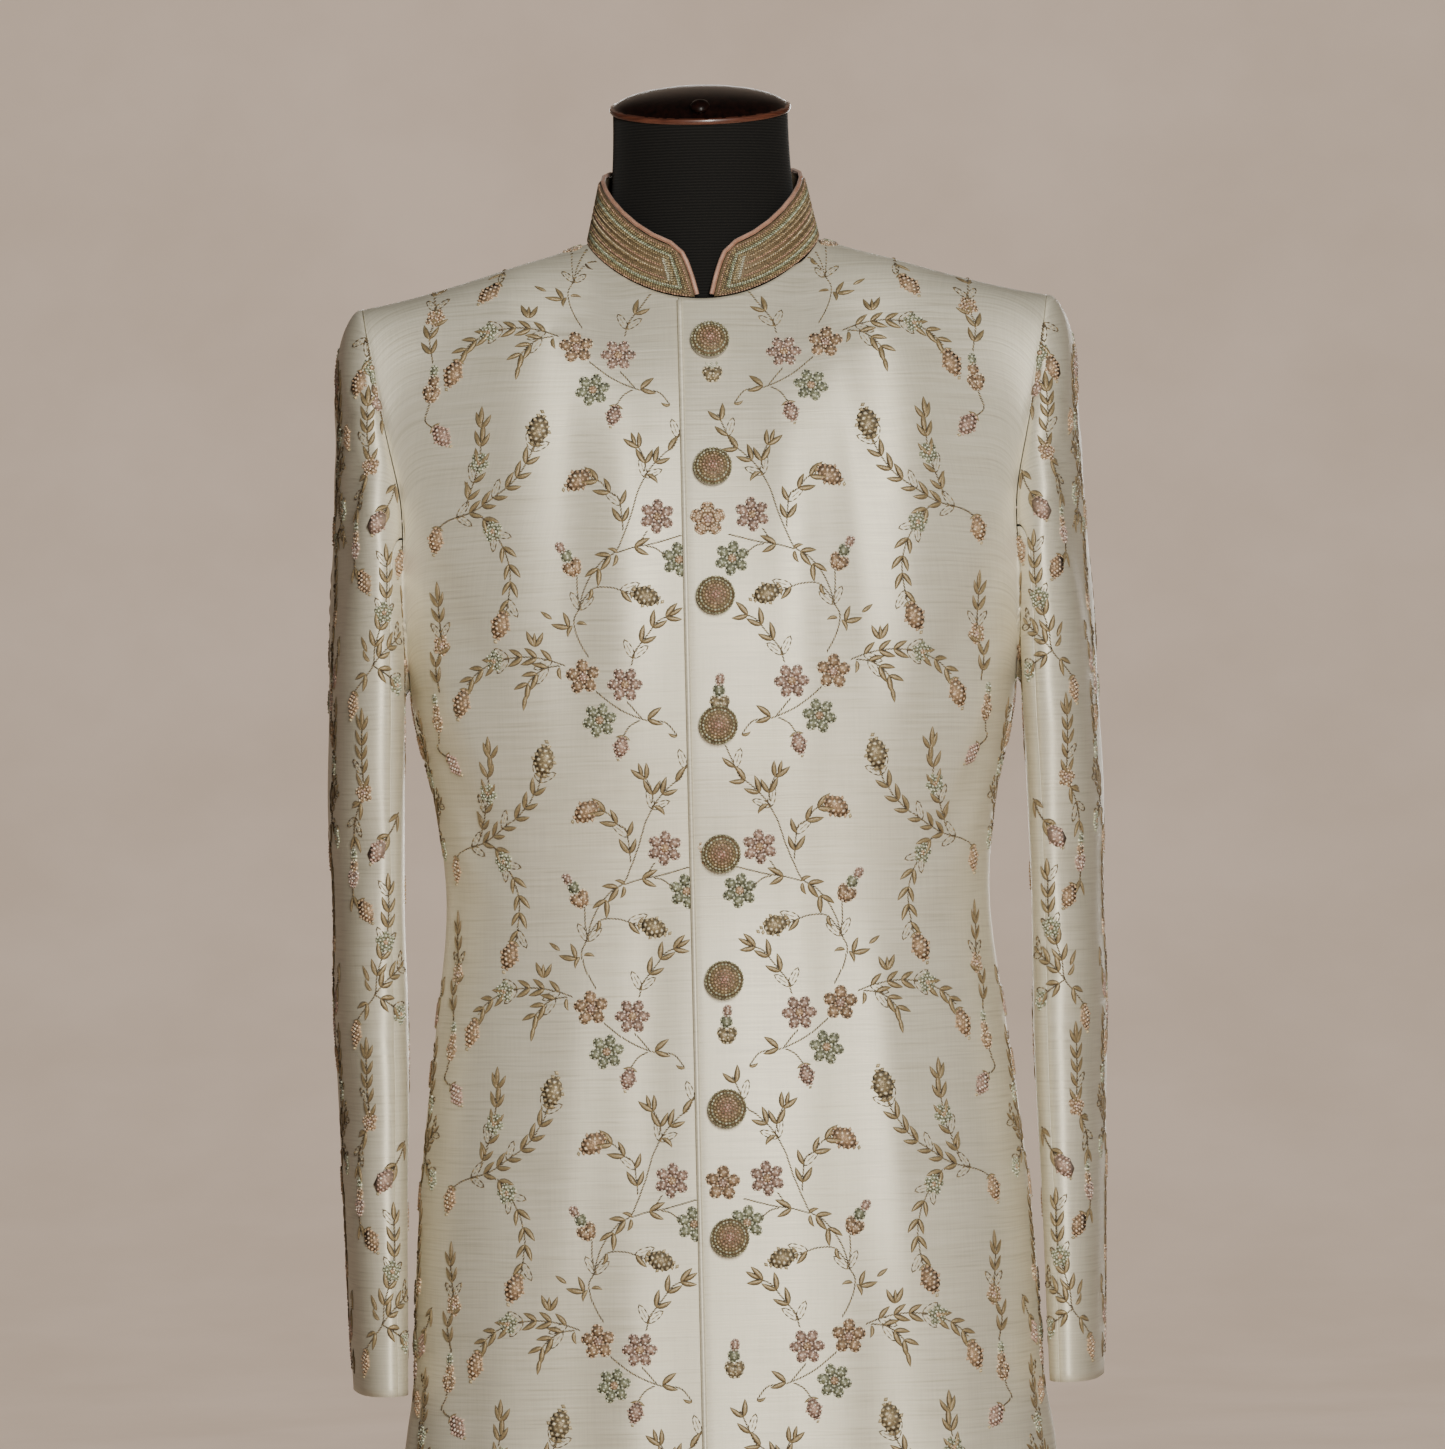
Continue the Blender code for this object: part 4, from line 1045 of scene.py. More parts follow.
def path_lengths(points):
    steps = np.linalg.norm(np.diff(points, axis=0), axis=1)
    return np.concatenate([[0], np.cumsum(steps)])


class CollarFlat:
    """The collar's outer face by millimetres along from its left end and up from its base."""

    def __init__(self):
        self.shares = np.linspace(0, 1, LENGTH_STATIONS * 4 + 1)
        highs = np.linspace(0, 1, HIGH_STATIONS)
        grid = np.array([[tuple(collar_point(s, h)) for s in self.shares] for h in highs]) * 1000
        self.lengths = grid_lengths(grid, 1)
        self.heights = np.linalg.norm(grid[-1] - grid[0], axis=1)
        self.full = float(self.lengths[HIGH_STATIONS // 2, -1])

    def share_at(self, along, high):
        """The share at a length along, counted from the nearer end so both ends match."""
        lengths = self.lengths[round(high * (HIGH_STATIONS - 1))]
        if along > self.full / 2:
            along = lengths[-1] - (self.full - along)
        return float(np.interp(along, lengths, self.shares))

    def height_at(self, along):
        return float(np.interp(along / self.full, self.shares, self.heights))

    def place(self, along, up):
        high = min(max(up / self.height_at(along), 0.0), 1.0)
        share = self.share_at(along, high)
        return collar_point(share, high), collar_normal(share, high)


def even_path(points, pitch):
    """Places at an even pitch on straight runs between the points."""
    points = np.array(points, float)
    length = path_lengths(points)
    count = max(2, round(length[-1] / pitch))
    at = (np.arange(count) + 0.5) / count * length[-1]
    return [(np.interp(x, length, points[:, 0]), np.interp(x, length, points[:, 1])) for x in at]


def collar_paths(flat):
    """Every row as its path, its strand spacing in millimetres and its two colours."""
    found = []
    for k, colours in enumerate(LOOPS):
        drop = EDGE_MARGIN + LOOP_PITCH * k
        lengths = np.linspace(drop, flat.full - drop, LENGTH_STATIONS + 1)
        base = [(along, BASE_MARGIN + LOOP_PITCH * k) for along in lengths]
        top = [(along, flat.height_at(along) - drop) for along in lengths[::-1]]
        found.append(([*base, *top, base[0]], LOOP_PITCH, colours))
    edge = EDGE_MARGIN + LOOP_PITCH * len(LOOPS)
    floor = BASE_MARGIN + LOOP_PITCH * (len(LOOPS) - 0.5)
    for k, colour in enumerate(END_ROWS):
        near = edge - END_GAP + END_PITCH * k
        for along in (near, flat.full - near):
            ceiling = flat.height_at(along) - edge + 0.3 * LOOP_PITCH
            path = [(along, floor + END_GAP), (along, ceiling)]
            found.append((path, END_SPACING, (colour, colour)))
    start = edge + END_PITCH * len(END_ROWS) + END_GAP
    lengths = np.linspace(start, flat.full - start, LENGTH_STATIONS + 1)

    def room_at(along):
        return flat.height_at(along) - edge + 0.5 * LOOP_PITCH - floor

    for k, colours in enumerate(INNER_ROWS):
        share = (k + 0.5) / len(INNER_ROWS)
        path = [(along, floor + share * room_at(along)) for along in lengths]
        found.append((path, room_at(flat.full / 2) / len(INNER_ROWS), colours))
    return found

LEAST_STEP = 1e-6


def make_collar_rows():
    """Couched cords and beads in rows: the outer ones loop round the collar's ends."""
    flat = CollarFlat()
    rows = []
    for path, spacing, colours in collar_paths(flat):
        spots = even_path(path, ROW_PITCH)
        for k, (along, up) in enumerate(spots):
            last = k + 1 == len(spots)
            near = spots[k - 1] if last else spots[k + 1]
            run = math.hypot(near[0] - along, near[1] - up) * (-1 if last else 1)
            step = ((near[0] - along) / run, (near[1] - up) / run)
            inward = min(1.0, min(along, flat.full - along) / (flat.full / 2))
            wide = spacing if spacing == LOOP_PITCH else blend(NARROW_SPACING, spacing, inward)
            for strand, colour in enumerate(colours):
                off = wide * (0.25 if strand else -0.25)
                here = (along - step[1] * off, up + step[0] * off)
                point, normal = flat.place(*here)
                other, _ = flat.place(
                    here[0] + LOOK_AHEAD * step[0], here[1] + LOOK_AHEAD * step[1]
                )
                ahead = other - point
                if ahead.length < LEAST_STEP:
                    continue
                ahead = ahead.normalized()
                slant = math.radians(ROW_SLANT * (1 if strand else -1))
                ahead = ahead * math.cos(slant) + normal.cross(ahead) * math.sin(slant)
                bright = BRIGHTNESS[(k + 2 * strand) % len(BRIGHTNESS)]
                tone = tuple(min(1.0, bright * part) for part in colour)
                half = (ROW_BEAD_LENGTH, ROW_BEAD_WIDTH * wide, ROW_BEAD_HEIGHT)
                rows.append((tuple(point), tuple(ahead), tuple(normal), half, tone))
    sew_beads("collar_rows", rows, "collar_embroidery")


def sew_beads(name, rows, slot):
    stitches = Stitches()
    stitches.add_shapes("bead", rows)
    dress(stitches.finish(name), slot)


# Lap edge

EDGE_RADIUS = 0.0017
EDGE_PLACE = (0.4 * EDGE_RADIUS, 0.35 * EDGE_RADIUS)
EDGE_END = 0.002
EDGE_STATIONS = 220
EDGE_SIDES = 10


def make_lap_edge(front_left):
    """The lapping front's edge, turned to a soft roll from the neck to the hem."""
    x, y, z = front_left[::-1, 0].T
    heights = np.linspace(z.max() - EDGE_END, z.min() + EDGE_END, EDGE_STATIONS)
    line = np.stack([
        np.interp(heights, z, x) + EDGE_PLACE[0], np.interp(heights, z, y) + EDGE_PLACE[1], heights,
    ], axis=1)
    angles = 2 * math.pi * np.arange(EDGE_SIDES) / EDGE_SIDES
    ring = EDGE_RADIUS * np.stack([np.cos(angles), np.sin(angles), 0 * angles], axis=1)
    points = (line[:, None] + ring).reshape(-1, 3)
    faces = []
    for a in range(0, (EDGE_STATIONS - 1) * EDGE_SIDES, EDGE_SIDES):
        b = a + EDGE_SIDES
        for k in range(EDGE_SIDES):
            m = (k + 1) % EDGE_SIDES
            faces.append((a + k, b + k, b + m, a + m))
    obj = make_object("silk_lap_edge", points, faces, SILK)
    face_outwards(obj, fill=True)
    spread = obj.data.uv_layers.new(name="UVMap")
    for loop in obj.data.loops:
        place = obj.data.vertices[loop.vertex_index].co
        spread.data[loop.index].uv = (place.x, place.z)
    dress(obj, "silk")


# Turned pieces


def drawn_piece(name, profile, sides, *finishes):
    """A circle drawn up and resized step by step along a profile of radii and heights."""
    deselect_all()
    bpy.ops.mesh.primitive_circle_add(vertices=sides, radius=profile[0][0], fill_type="NGON")
    obj = bpy.context.object
    obj.name = name
    obj.data.name = name
    bpy.ops.object.mode_set(mode="EDIT")
    bpy.ops.mesh.select_all(action="SELECT")
    for (radius, height), (wider, higher) in zip(profile, profile[1:]):
        move = {"value": (0.0, 0.0, higher - height)}
        bpy.ops.mesh.extrude_region_move(TRANSFORM_OT_translate=move)
        ratio = wider / radius
        bpy.ops.transform.resize(value=(ratio, ratio, 1.0), center_override=(0.0, 0.0, higher))
    bpy.ops.mesh.select_all(action="SELECT")
    bpy.ops.mesh.normals_make_consistent(inside=False)
    bpy.ops.object.mode_set(mode="OBJECT")
    obj.data.materials.clear()
    for finish in finishes:
        obj.data.materials.append(finish)
    return obj


def turned_piece(node, toward, name, profile, sides, *finishes):
    """A drawn piece in a CAD node's place, with its foot and its axis from the node's mesh."""
    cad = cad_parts[node]
    points = np.array([tuple(cad.matrix_world @ vertex.co) for vertex in cad.data.vertices])
    middle = (points.min(axis=0) + points.max(axis=0)) / 2
    _, ways = np.linalg.eigh(np.cov((points - middle).T))
    axis = max((ways[:, k] for k in range(3)), key=lambda way: abs(way.dot(toward)))
    axis = axis if axis.dot(toward) > 0 else -axis
    along = (points - middle) @ axis
    foot = points[along < along.min() + STEP].mean(axis=0)
    obj = drawn_piece(name, profile, sides, *finishes)
    obj.rotation_euler = Vector(axis).to_track_quat("Z", "Y").to_euler()
    obj.location = tuple(foot)
    bpy.ops.object.transform_apply(location=True, rotation=True, scale=True)
    bpy.ops.object.shade_smooth_by_angle(angle=math.radians(32))
    return obj, Vector(foot), Vector(axis)


def finish_upper(obj, foot, axis, height):
    """Gives the faces above a height their second finish."""
    for face in obj.data.polygons:
        face.material_index = 1 if (face.center - foot).dot(axis) > height else 0


# Buttons

BUTTON_SHAPE = (
    # radius and height above the cloth, in metres
    (0.01085, 0.0), (0.01195, 0.0008), (0.01225, 0.0024), (0.01215, 0.0042), (0.01150, 0.0056),
    (0.01020, 0.0067), (0.00820, 0.0077), (0.00560, 0.0085), (0.00280, 0.00895), (0.00040, 0.0091),
)
BUTTON_SIDES = 40
TOP_COIL = ((0.640, 0.370, 0.290), (0.720, 0.480, 0.380), (0.560, 0.300, 0.230))
COILS = (
    # radius of a coil, bead count, colours along it
    (0.01165, 34, ((0.330, 0.325, 0.190), (0.500, 0.490, 0.320), (0.220, 0.195, 0.105))),
    (0.00975, 28, ((0.520, 0.540, 0.370), (0.380, 0.350, 0.200), (0.660, 0.650, 0.480))),
    (0.00785, 22, ((0.440, 0.330, 0.170), (0.620, 0.470, 0.270), (0.310, 0.235, 0.120))),
    (0.00595, 17, ((0.620, 0.410, 0.270), (0.700, 0.510, 0.350), (0.480, 0.300, 0.180))),
    (0.00405, 11, ((0.400, 0.230, 0.150), (0.520, 0.320, 0.220), (0.330, 0.190, 0.120))),
    (0.00215, 6, TOP_COIL),
    (0.00050, 2, TOP_COIL),
)
COIL_SLANT = math.radians(13.0)
COIL_TWIST = 0.37
BUTTON_TWIST = 0.21
COIL_BEAD = (0.00120, 0.00080, 0.00095)
LEAN_STEP = 0.0006
COVERED_FROM = 0.0038


def dome_height(radius):
    """The dome's height at a radius, outside its top."""
    radii, heights = np.array(BUTTON_SHAPE)[::-1].T
    return float(np.interp(radius, radii[:-3], heights[:-3]))


def make_buttons():
    """Silk-sided domes under coils of beads and gold thread."""
    for k in range(BUTTON_COUNT):
        dome, foot, axis = turned_piece(
            f"button_{k + 1}", (0.0, -1.0, 0.0), f"button_dome_{k + 1}", BUTTON_SHAPE,
            BUTTON_SIDES, BUTTON_SILK_AND_SHADE, BAND,
        )
        finish_upper(dome, foot, axis, COVERED_FROM)
        dress(dome, "button_embroidery", f"button_{k + 1}")
        level = (Vector((1, 0, 0)) - axis * axis.x).normalized()
        rise = axis.cross(level)
        rows = []
        for ring, (radius, count, colours) in enumerate(COILS):
            height = dome_height(radius)
            lean = math.atan2(max(dome_height(radius - LEAN_STEP) - height, 0.0), LEAN_STEP)
            for n in range(count):
                angle = 2 * math.pi * (n + COIL_TWIST * ring + BUTTON_TWIST * k) / count
                away = level * math.cos(angle) + rise * math.sin(angle)
                around = axis.cross(away)
                out = (axis * math.cos(lean) + away * math.sin(lean)).normalized()
                ahead = around * math.cos(COIL_SLANT) + out.cross(around) * math.sin(COIL_SLANT)
                place = foot + away * radius + axis * height
                colour = colours[(n + ring + k) % 3]
                rows.append((tuple(place), tuple(ahead), tuple(out), COIL_BEAD, colour))
        sew_beads(f"button_coils_{k + 1}", rows, "button_embroidery")


# Neck cap and knob

CAP_SHAPE = (
    # share of the neck's radius, height above the cap's foot in metres
    (0.985, 0.0), (1.028, 0.0003), (1.036, 0.0011), (1.036, 0.0027), (1.030, 0.0034),
    (1.008, 0.0038), (0.990, 0.0040), (0.940, 0.0062), (0.850, 0.0087), (0.720, 0.0109),
    (0.560, 0.0127), (0.380, 0.0140), (0.180, 0.0148), (0.020, 0.0150),
)
RIM_TOP = 0.0039
CAP_SIDES = 128
KNOB_SHAPE = (
    (0.0026, 0.0), (0.0026, 0.0012), (0.0042, 0.0020), (0.0058, 0.0034), (0.0062, 0.0048),
    (0.0055, 0.0062), (0.0038, 0.0073), (0.0018, 0.0079), (0.0002, 0.0080),
)
KNOB_SIDES = 32


def make_neck_cap():
    """The turned cap: a red-brown rim band and a dark polished crown, and its knob."""
    foot = Vector((0, NECK_MIDDLE_Y, CAP_MIDDLE_Z + CAP_SLOPE * NECK_MIDDLE_Y))
    lean = Vector((0, -CAP_SLOPE, 1)).normalized()
    cap = drawn_piece("neck_cap", CAP_SHAPE, CAP_SIDES, CAP_RIM, MAHOGANY)
    for vertex in cap.data.vertices:
        x, y, height = vertex.co
        out = neck_ring_point(math.atan2(x, -y), 1.0) - foot
        vertex.co = foot + out * math.hypot(x, y) + lean * (height + CAP_SEAT)
    finish_upper(cap, foot, lean, RIM_TOP + CAP_SEAT)
    bpy.ops.object.shade_smooth_by_angle(angle=math.radians(38))
    dress(cap, "polished_wood", "form_neck_cap")
    knob, _, _ = turned_piece(
        "form_knob", tuple(lean), "cap_knob", KNOB_SHAPE, KNOB_SIDES, MAHOGANY
    )
    dress(knob, "polished_wood", "form_knob")


# Dress form

TORSO_ACROSS = 40
TORSO_DOWN = 64
NECK_UP = 40


def make_torso():
    """The smooth torso and neck in black jersey, closed at the neck's top and underneath."""
    bm = bmesh.new()
    neck_columns = round(TORSO_ACROSS * NECK_SHARE)
    rest = TORSO_ACROSS - neck_columns
    shares = [NECK_SHARE * k / neck_columns for k in range(neck_columns)]
    shares += [blend(NECK_SHARE, 1.0, k / rest) for k in range(rest + 1)]
    rows = [2 * k / TORSO_DOWN for k in range(TORSO_DOWN + 1)]
    for hand in (1, -1):
        for side in (-1, 1):
            sheet = []
            for along in rows:
                points = [form_point(share, along, side) for share in shares]
                sheet.append([bm.verts.new((hand * p.x, p.y, p.z)) for p in points])
            for upper, lower in zip(sheet, sheet[1:]):
                for k in range(len(shares) - 1):
                    corners = (upper[k], upper[k + 1], lower[k + 1], lower[k])
                    bm.faces.new(corners if hand * side < 0 else corners[::-1])
    around = 4 * neck_columns
    turns = [2 * math.pi * k / around for k in range(around)]
    neck = []
    for i in range(NECK_UP + 1):
        neck.append([bm.verts.new(neck_ring_point(turn, i / NECK_UP)) for turn in turns])
    for low, high in zip(neck, neck[1:]):
        for k in range(around):
            m = (k + 1) % around
            bm.faces.new((low[k], low[m], high[m], high[k]))
    bm.faces.new(neck[-1])
    bmesh.ops.remove_doubles(bm, verts=bm.verts, dist=1e-6)
    bmesh.ops.holes_fill(bm, edges=bm.edges, sides=0)
    bmesh.ops.recalc_face_normals(bm, faces=bm.faces)
    mesh = bpy.data.meshes.new("jersey_torso")
    bm.to_mesh(mesh)
    bm.free()
    mesh.shade_smooth()
    mesh.set_sharp_from_angle(angle=math.radians(50))
    mesh.materials.append(JERSEY)
    obj = bpy.data.objects.new("jersey_torso", mesh)
    bpy.context.scene.collection.objects.link(obj)
    dress(obj, "jersey", "form_torso")


# Embroidery: thread colours

BRONZE = (0.150, 0.105, 0.055)
TAN = (0.300, 0.220, 0.110)
GOLD = (0.420, 0.320, 0.165)
PALE_GOLD = (0.660, 0.560, 0.370)
TONES = {
    # painted shade, the dark colour on the pad between the beads; outline; filling
    "orange": ((0.400, 0.275, 0.165), (0.620, 0.420, 0.255), (0.930, 0.725, 0.530)),
    "pink": ((0.430, 0.295, 0.225), (0.650, 0.440, 0.355), (0.940, 0.760, 0.660)),
    "green": ((0.290, 0.300, 0.195), (0.480, 0.505, 0.340), (0.780, 0.800, 0.640)),
    "gold": ((0.320, 0.250, 0.145), (0.550, 0.450, 0.265), (0.850, 0.765, 0.550)),
}

# The chart of one repeat, in millimetres on the cloth: outward from the centre line, and up.

REPEAT = 0.213
REPEAT_MIDDLE_Z = 1.180
MIRROR_SHIFT = 0.006
STEMS = (
    ((69.5, -3), (54.5, -14.5), (38, -22), (25, -24), (17.5, -32.5)),
    ((49.5, -10), (45, -15), (40, -21)), ((41.5, -22), (47.5, -25.5), (52, -31.5)),
    ((7, -39), (11, -48.5), (16, -59.5), (21.5, -63.5), (31, -73), (36, -81), (40, -89.5),
     (44, -102.5), (49.5, -116.5), (54.5, -126.5), (63, -132), (71.5, -142.5), (76.5, -153),
     (79, -162.5), (82.5, -169.5), (81.5, -178), (78, -186.5), (73.5, -194)),
    ((35, -75.5), (34.5, -68), (39, -58.5)),
    ((49.5, -113), (50, -106), (52, -92.5), (58, -88), (63.5, -81.5), (69.5, -79)),
    ((12, -117), (30.5, -122), (42.5, -124), (54.5, -127.5)),
    ((22.5, -130), (29, -125), (35, -123.5)), ((34, -113.5), (40, -123)),
    ((80, -140), (80, -151), (79, -161.5)),
    ((45, -154.5), (52, -151.5), (59, -149.5), (69.5, -150), (77, -158)),
    ((46, 13), (44, 21), (41, 25.5), (34.5, 33.5), (28.5, 41), (21, 44.5)),
    ((89, 14), (101, 18), (113.5, 20), (126.5, 19.5), (137.5, 17), (150, 11), (159, 3)),
    ((92.5, 14), (102, 12.5), (110, 7.5), (115, 2)),
    ((105, -54), (112, -68), (121.5, -80), (136, -90), (151.5, -98.5), (172, -103.5),
     (183, -108.5)),
    ((143, -43), (145.5, -67), (151.5, -82.5), (157, -95.5)),
    ((151.5, -98.5), (143.5, -103), (136.5, -111.5), (129.5, -121.5), (125, -135), (125, -147),
     (127.5, -162.5)),
    ((185, 55.5), (182.5, 29), (189, 16), (185.5, -1)),
    ((186, -20), (191.5, -30), (195.5, -38.5), (184, -44.5)),
)
# Stems that carry leaves in pairs: the stem's place in the list, the shares of its length
# between which they grow, and whether they point to its last end.
LEAFY = (
    (3, 0.02, 0.27, False), (4, 0.3, 0.95, True), (5, 0.12, 0.9, True), (11, 0.12, 0.95, True),
    (12, 0.12, 0.92, True), (13, 0.3, 0.95, True), (14, 0.06, 0.8, False), (15, 0.02, 0.9, False),
    (16, 0.12, 0.92, True), (17, 0.02, 0.9, False),
)
PAIRS = (
    (36.5, -21.5, 170), (42.5, -124, 180), (51.5, -151.5, 200), (108.5, 26.5, 90),
    (86, -174.5, 40), (78.5, -163, 100), (58, -129, -25), (66, -137, -60),
)
# Single leaves and curls: place, heading, length and bend.
LEAVES = (
    (21, 44.5, 150, 10, 0), (40.5, -58, 75, 9, 0), (109, 26.5, 90, 9, 0), (97, -169, 35, 9, 0),
    (143, -53.5, 90, 13, 0), (144, -43, 90, 13, 0), (185, 57.5, 88, 13, 0),
    (116, -4.5, -80, 10, 0), (152.5, -87, 60, 10, 0), (33.5, -77.5, 185, 10, 1),
    (53.5, -127.5, 60, 8, -1), (54.5, -128.5, -110, 9, 1), (17.5, -32.5, -20, 7, 1),
    (92.5, 13, -60, 9, -1), (81, -172.5, 150, 8, 1), (83.5, -173.5, -30, 9, -1),
    (71, -150, -110, 9, 1),
)
FLOWERS = (
    (77.5, 6.5, "orange"), (50.5, 1, "pink"), (67.5, -21.5, "green"), (27.5, -104.5, "pink"),
    (14, -132.5, "green"),
)
SMALLS = (
    (137.5, 18, "green"), (145.5, -67, "green"), (136.5, -111.5, "green"), (182.5, 29, "orange"),
)
GRAPES = (
    (52, -31.5, -75, "pink", 0.75), (69.5, -74, -35, "orange", 1), (45.5, -152, 200, "gold", 1),
    (160, 1, -70, "orange", 1), (106.5, -57.5, 103, "gold", 1.1), (183, -107, -75, "orange", 0.9),
    (128.5, -162.5, -68, "orange", 1), (186.5, -42, -135, "pink", 0.9),
)
HEARTS = (
    (80, -141, 60, ("orange", "green", "pink")), (189.5, -26.5, 95, ("orange", "orange", "green")),
)
CENTRE_FLOWERS = (
    (-1, -107, "orange"),
)
CENTRE_HEARTS = (
    (4, -18, 90, ("gold", "green", "pink")),
)
SLEEVE_STEMS = (
    ((-8, 34), (-8, 16), (-6, 0), (0, -20), (2, -33), (10, -42), (19, -50)),
    ((2, -33), (-8, -39), (-16, -44)), ((2, -33), (-6, -24), (-17, -16)),
    ((10, -72), (10, -92), (9, -115), (14, -124), (20, -136), (22, -150)),
    ((-20, -128), (-14, -138), (-7, -146)), ((22, -176), (19, -186), (13, -184)),
)
SLEEVE_LEAFY = (
    (0, 0.02, 0.6, False), (1, 0.2, 0.75, True), (2, 0.25, 0.95, True), (3, 0.02, 0.5, False),
    (3, 0.62, 0.92, True), (4, 0.05, 0.8, True),
)
SLEEVE_PAIRS = (
    (8, -38, -50), (21, -182, -100),
)
SLEEVE_LEAVES = (
    (-8, 34, 90, 12, 0), (10, -74, 90, 14, 0), (6, -24, 65, 11, 0), (-17, -16, 150, 10, 0),
    (4, -30, 20, 10, 1), (14, -122, 30, 8, -1),
)
SLEEVE_SMALLS = (
    (-6, 1, "green"), (-18, -46, "green"), (9, -115, "orange"),
)
SLEEVE_GRAPES = (
    (18, -49, -72, "orange", 0.9), (-7, -146, -52, "pink", 0.9), (13, -184, -125, "orange", 0.9),
)
SLEEVE_HEARTS = (
    (22, -176, 95, ("pink", "orange", "green")),
)

STEM_PITCH = 2.1
STEM_SLANT = 20.0
LEAF_LENGTH = 12.2
PAIR_SPREAD = 40.0
PAIR_PITCH = 10.8
LOOPED = (0, 0, 1, 0, 0, 2, 0)
LEAF_BEND = 0.30
LOOP_TURNS = (24, 62, 104, 150, 202, 246, 290, 334)
LOOP_WIDTH = 0.18
FLOWER_RADIUS = 11.3
SMALL_RADIUS = 6.8
LEAST_LARGE_RADIUS = 9
GRAPE_SCALE = 1.08
GRAPE_MIDDLE = 9.6
GRAPE_FIRST = 1.8
GRAPE_ROW_PITCH = 2.60
GRAPE_BEAD_PITCH = 3.00
GRAPE_COUNTS = (2, 3, 4, 5, 4, 3, 2, 1)
CALYX_SPREAD = 55
CALYX_LENGTH = 5.5

# Half length, half width and half height of each stitch, in millimetres
RIM_BEAD = (1.30, 0.78, 0.85)
FILLING_BEAD = (1.05, 0.80, 0.95)
KNOT_BEAD = (0.95, 0.80, 1.25)
STEM_TWIST = (1.40, 0.66, 0.70)
LEAF_TWIST = (1.75, 0.60, 0.70)
VEIN_TWIST = (1.6, 0.50, 0.50)

# Stitches are listed flat, in millimetres: (shape, u, v, heading, half length, half width,
# half height, colour).


def offset(x, y, heading, ahead, aside=0.0):
    """A place some way ahead and aside of another, at a heading in degrees."""
    angle = math.radians(heading)
    return (
        x + math.cos(angle) * ahead - math.sin(angle) * aside,
        y + math.sin(angle) * ahead + math.cos(angle) * aside,
    )


def heading_of(ahead, aside):
    return math.degrees(math.atan2(aside, ahead))


def petal_stitches(x, y, heading, length, width, tone, rim, fills):
    """One petal: a low pad painted dark as the shade between its beads, a looped outline of beads
    round it and filling beads.
    """
    # The first tone is painted shade: it darkens the pad that shows between the beads.
    ground, outline, fill = TONES[tone]
    shade_pad = (length / 2 + 0.3, width / 2 + 0.3, 0.40)
    found = [("shade_pad", *offset(x, y, heading, length / 2), heading, *shade_pad, ground)]
    for k in range(rim):
        turn = 2 * math.pi * (k + 0.5) / rim
        a = length / 2 * (1 + 0.92 * math.cos(turn))
        place = offset(x, y, heading, a, 0.92 * width / 2 * math.sin(turn))
        along = heading + heading_of(-length * math.sin(turn), width * math.cos(turn)) + 14
        found.append(("bead", *place, along, *RIM_BEAD, outline if k % 2 else fill))
    for k in range(fills):
        a = length * (0.32 + 0.42 * k / (fills - 1) if fills > 1 else 0.5)
        place = offset(x, y, heading, a, 0.16 * width * (-1) ** k if fills > 2 else 0.0)
        found.append(("bead", *place, heading + 70, *FILLING_BEAD, fill))
    return found


def flower_stitches(tone, radius, petals, turn):
    """A flower of looped petals round a knot of beads."""
    large = radius > LEAST_LARGE_RADIUS
    found = []
    width = 1.18 * radius * math.sin(math.pi / petals)
    for k in range(petals):
        heading = turn + 360 * k / petals
        start = offset(0.0, 0.0, heading, 0.22 * radius)
        counts = (8, 3) if large else (6, 1)
        found += petal_stitches(*start, heading, 0.78 * radius, width, tone, *counts)
    # The knot's pad takes the other tone's painted shade, dark between the knot's beads.
    ground, *knot = TONES["pink" if tone == "orange" else "orange"]
    found.append(("shade_pad", 0.0, 0.0, turn, 0.30 * radius, 0.30 * radius, 0.75, ground))
    beads = 5 if large else 3
    for k in range(beads):
        heading = turn + 360 // beads * k
        place = offset(0.0, 0.0, heading, 0.15 * radius)
        found.append(("bead", *place, heading, *KNOT_BEAD, knot[k % 2]))
    return found


def grape_stitches(heading, tone, size):
    """A pointed cluster of beads in offset rows, with a darker outline at its sides."""
    # The pad under the beads is painted shade, dark in the gaps between them.
    ground, fill, second = TONES[tone]
    shade_pad = (8.6 * size, 5.9 * size, 0.45)
    found = [("shade_pad", *offset(0.0, 0.0, heading, GRAPE_MIDDLE * size), heading, *shade_pad, ground)]
    for row, count in enumerate(GRAPE_COUNTS):
        a = size * (GRAPE_FIRST + GRAPE_ROW_PITCH * row)
        for k in range(count):
            place = offset(0.0, 0.0, heading, a, size * GRAPE_BEAD_PITCH * (k - (count - 1) / 2))
            colour = fill if k in (0, count - 1) or (row + k) % 2 else second
            if count == 1:
                colour = TONES["gold"][1]
            slant = heading + 90 + 24 * (-1) ** k
            found.append(("bead", *place, slant, 1.50 * size, 1.05 * size, 1.1, colour))
    return found


def heart_stitches(heading, tones):
    """Three lobes in a stack, each of another colour, the lowest split into two halves."""
    found = []
    for bend in (-24, 24):
        found += petal_stitches(0.0, 0.0, heading + bend, 11.5, 6.8, tones[0], 9, 3)
    at = 10.0
    for tone, length, width, bend in ((tones[1], 8.4, 7.6, 4), (tones[2], 7.6, 5.6, -8)):
        place = offset(0.0, 0.0, heading, at)
        found += petal_stitches(*place, heading + bend, length, width, tone, 8, 2)
        at += length * 0.86
    return found


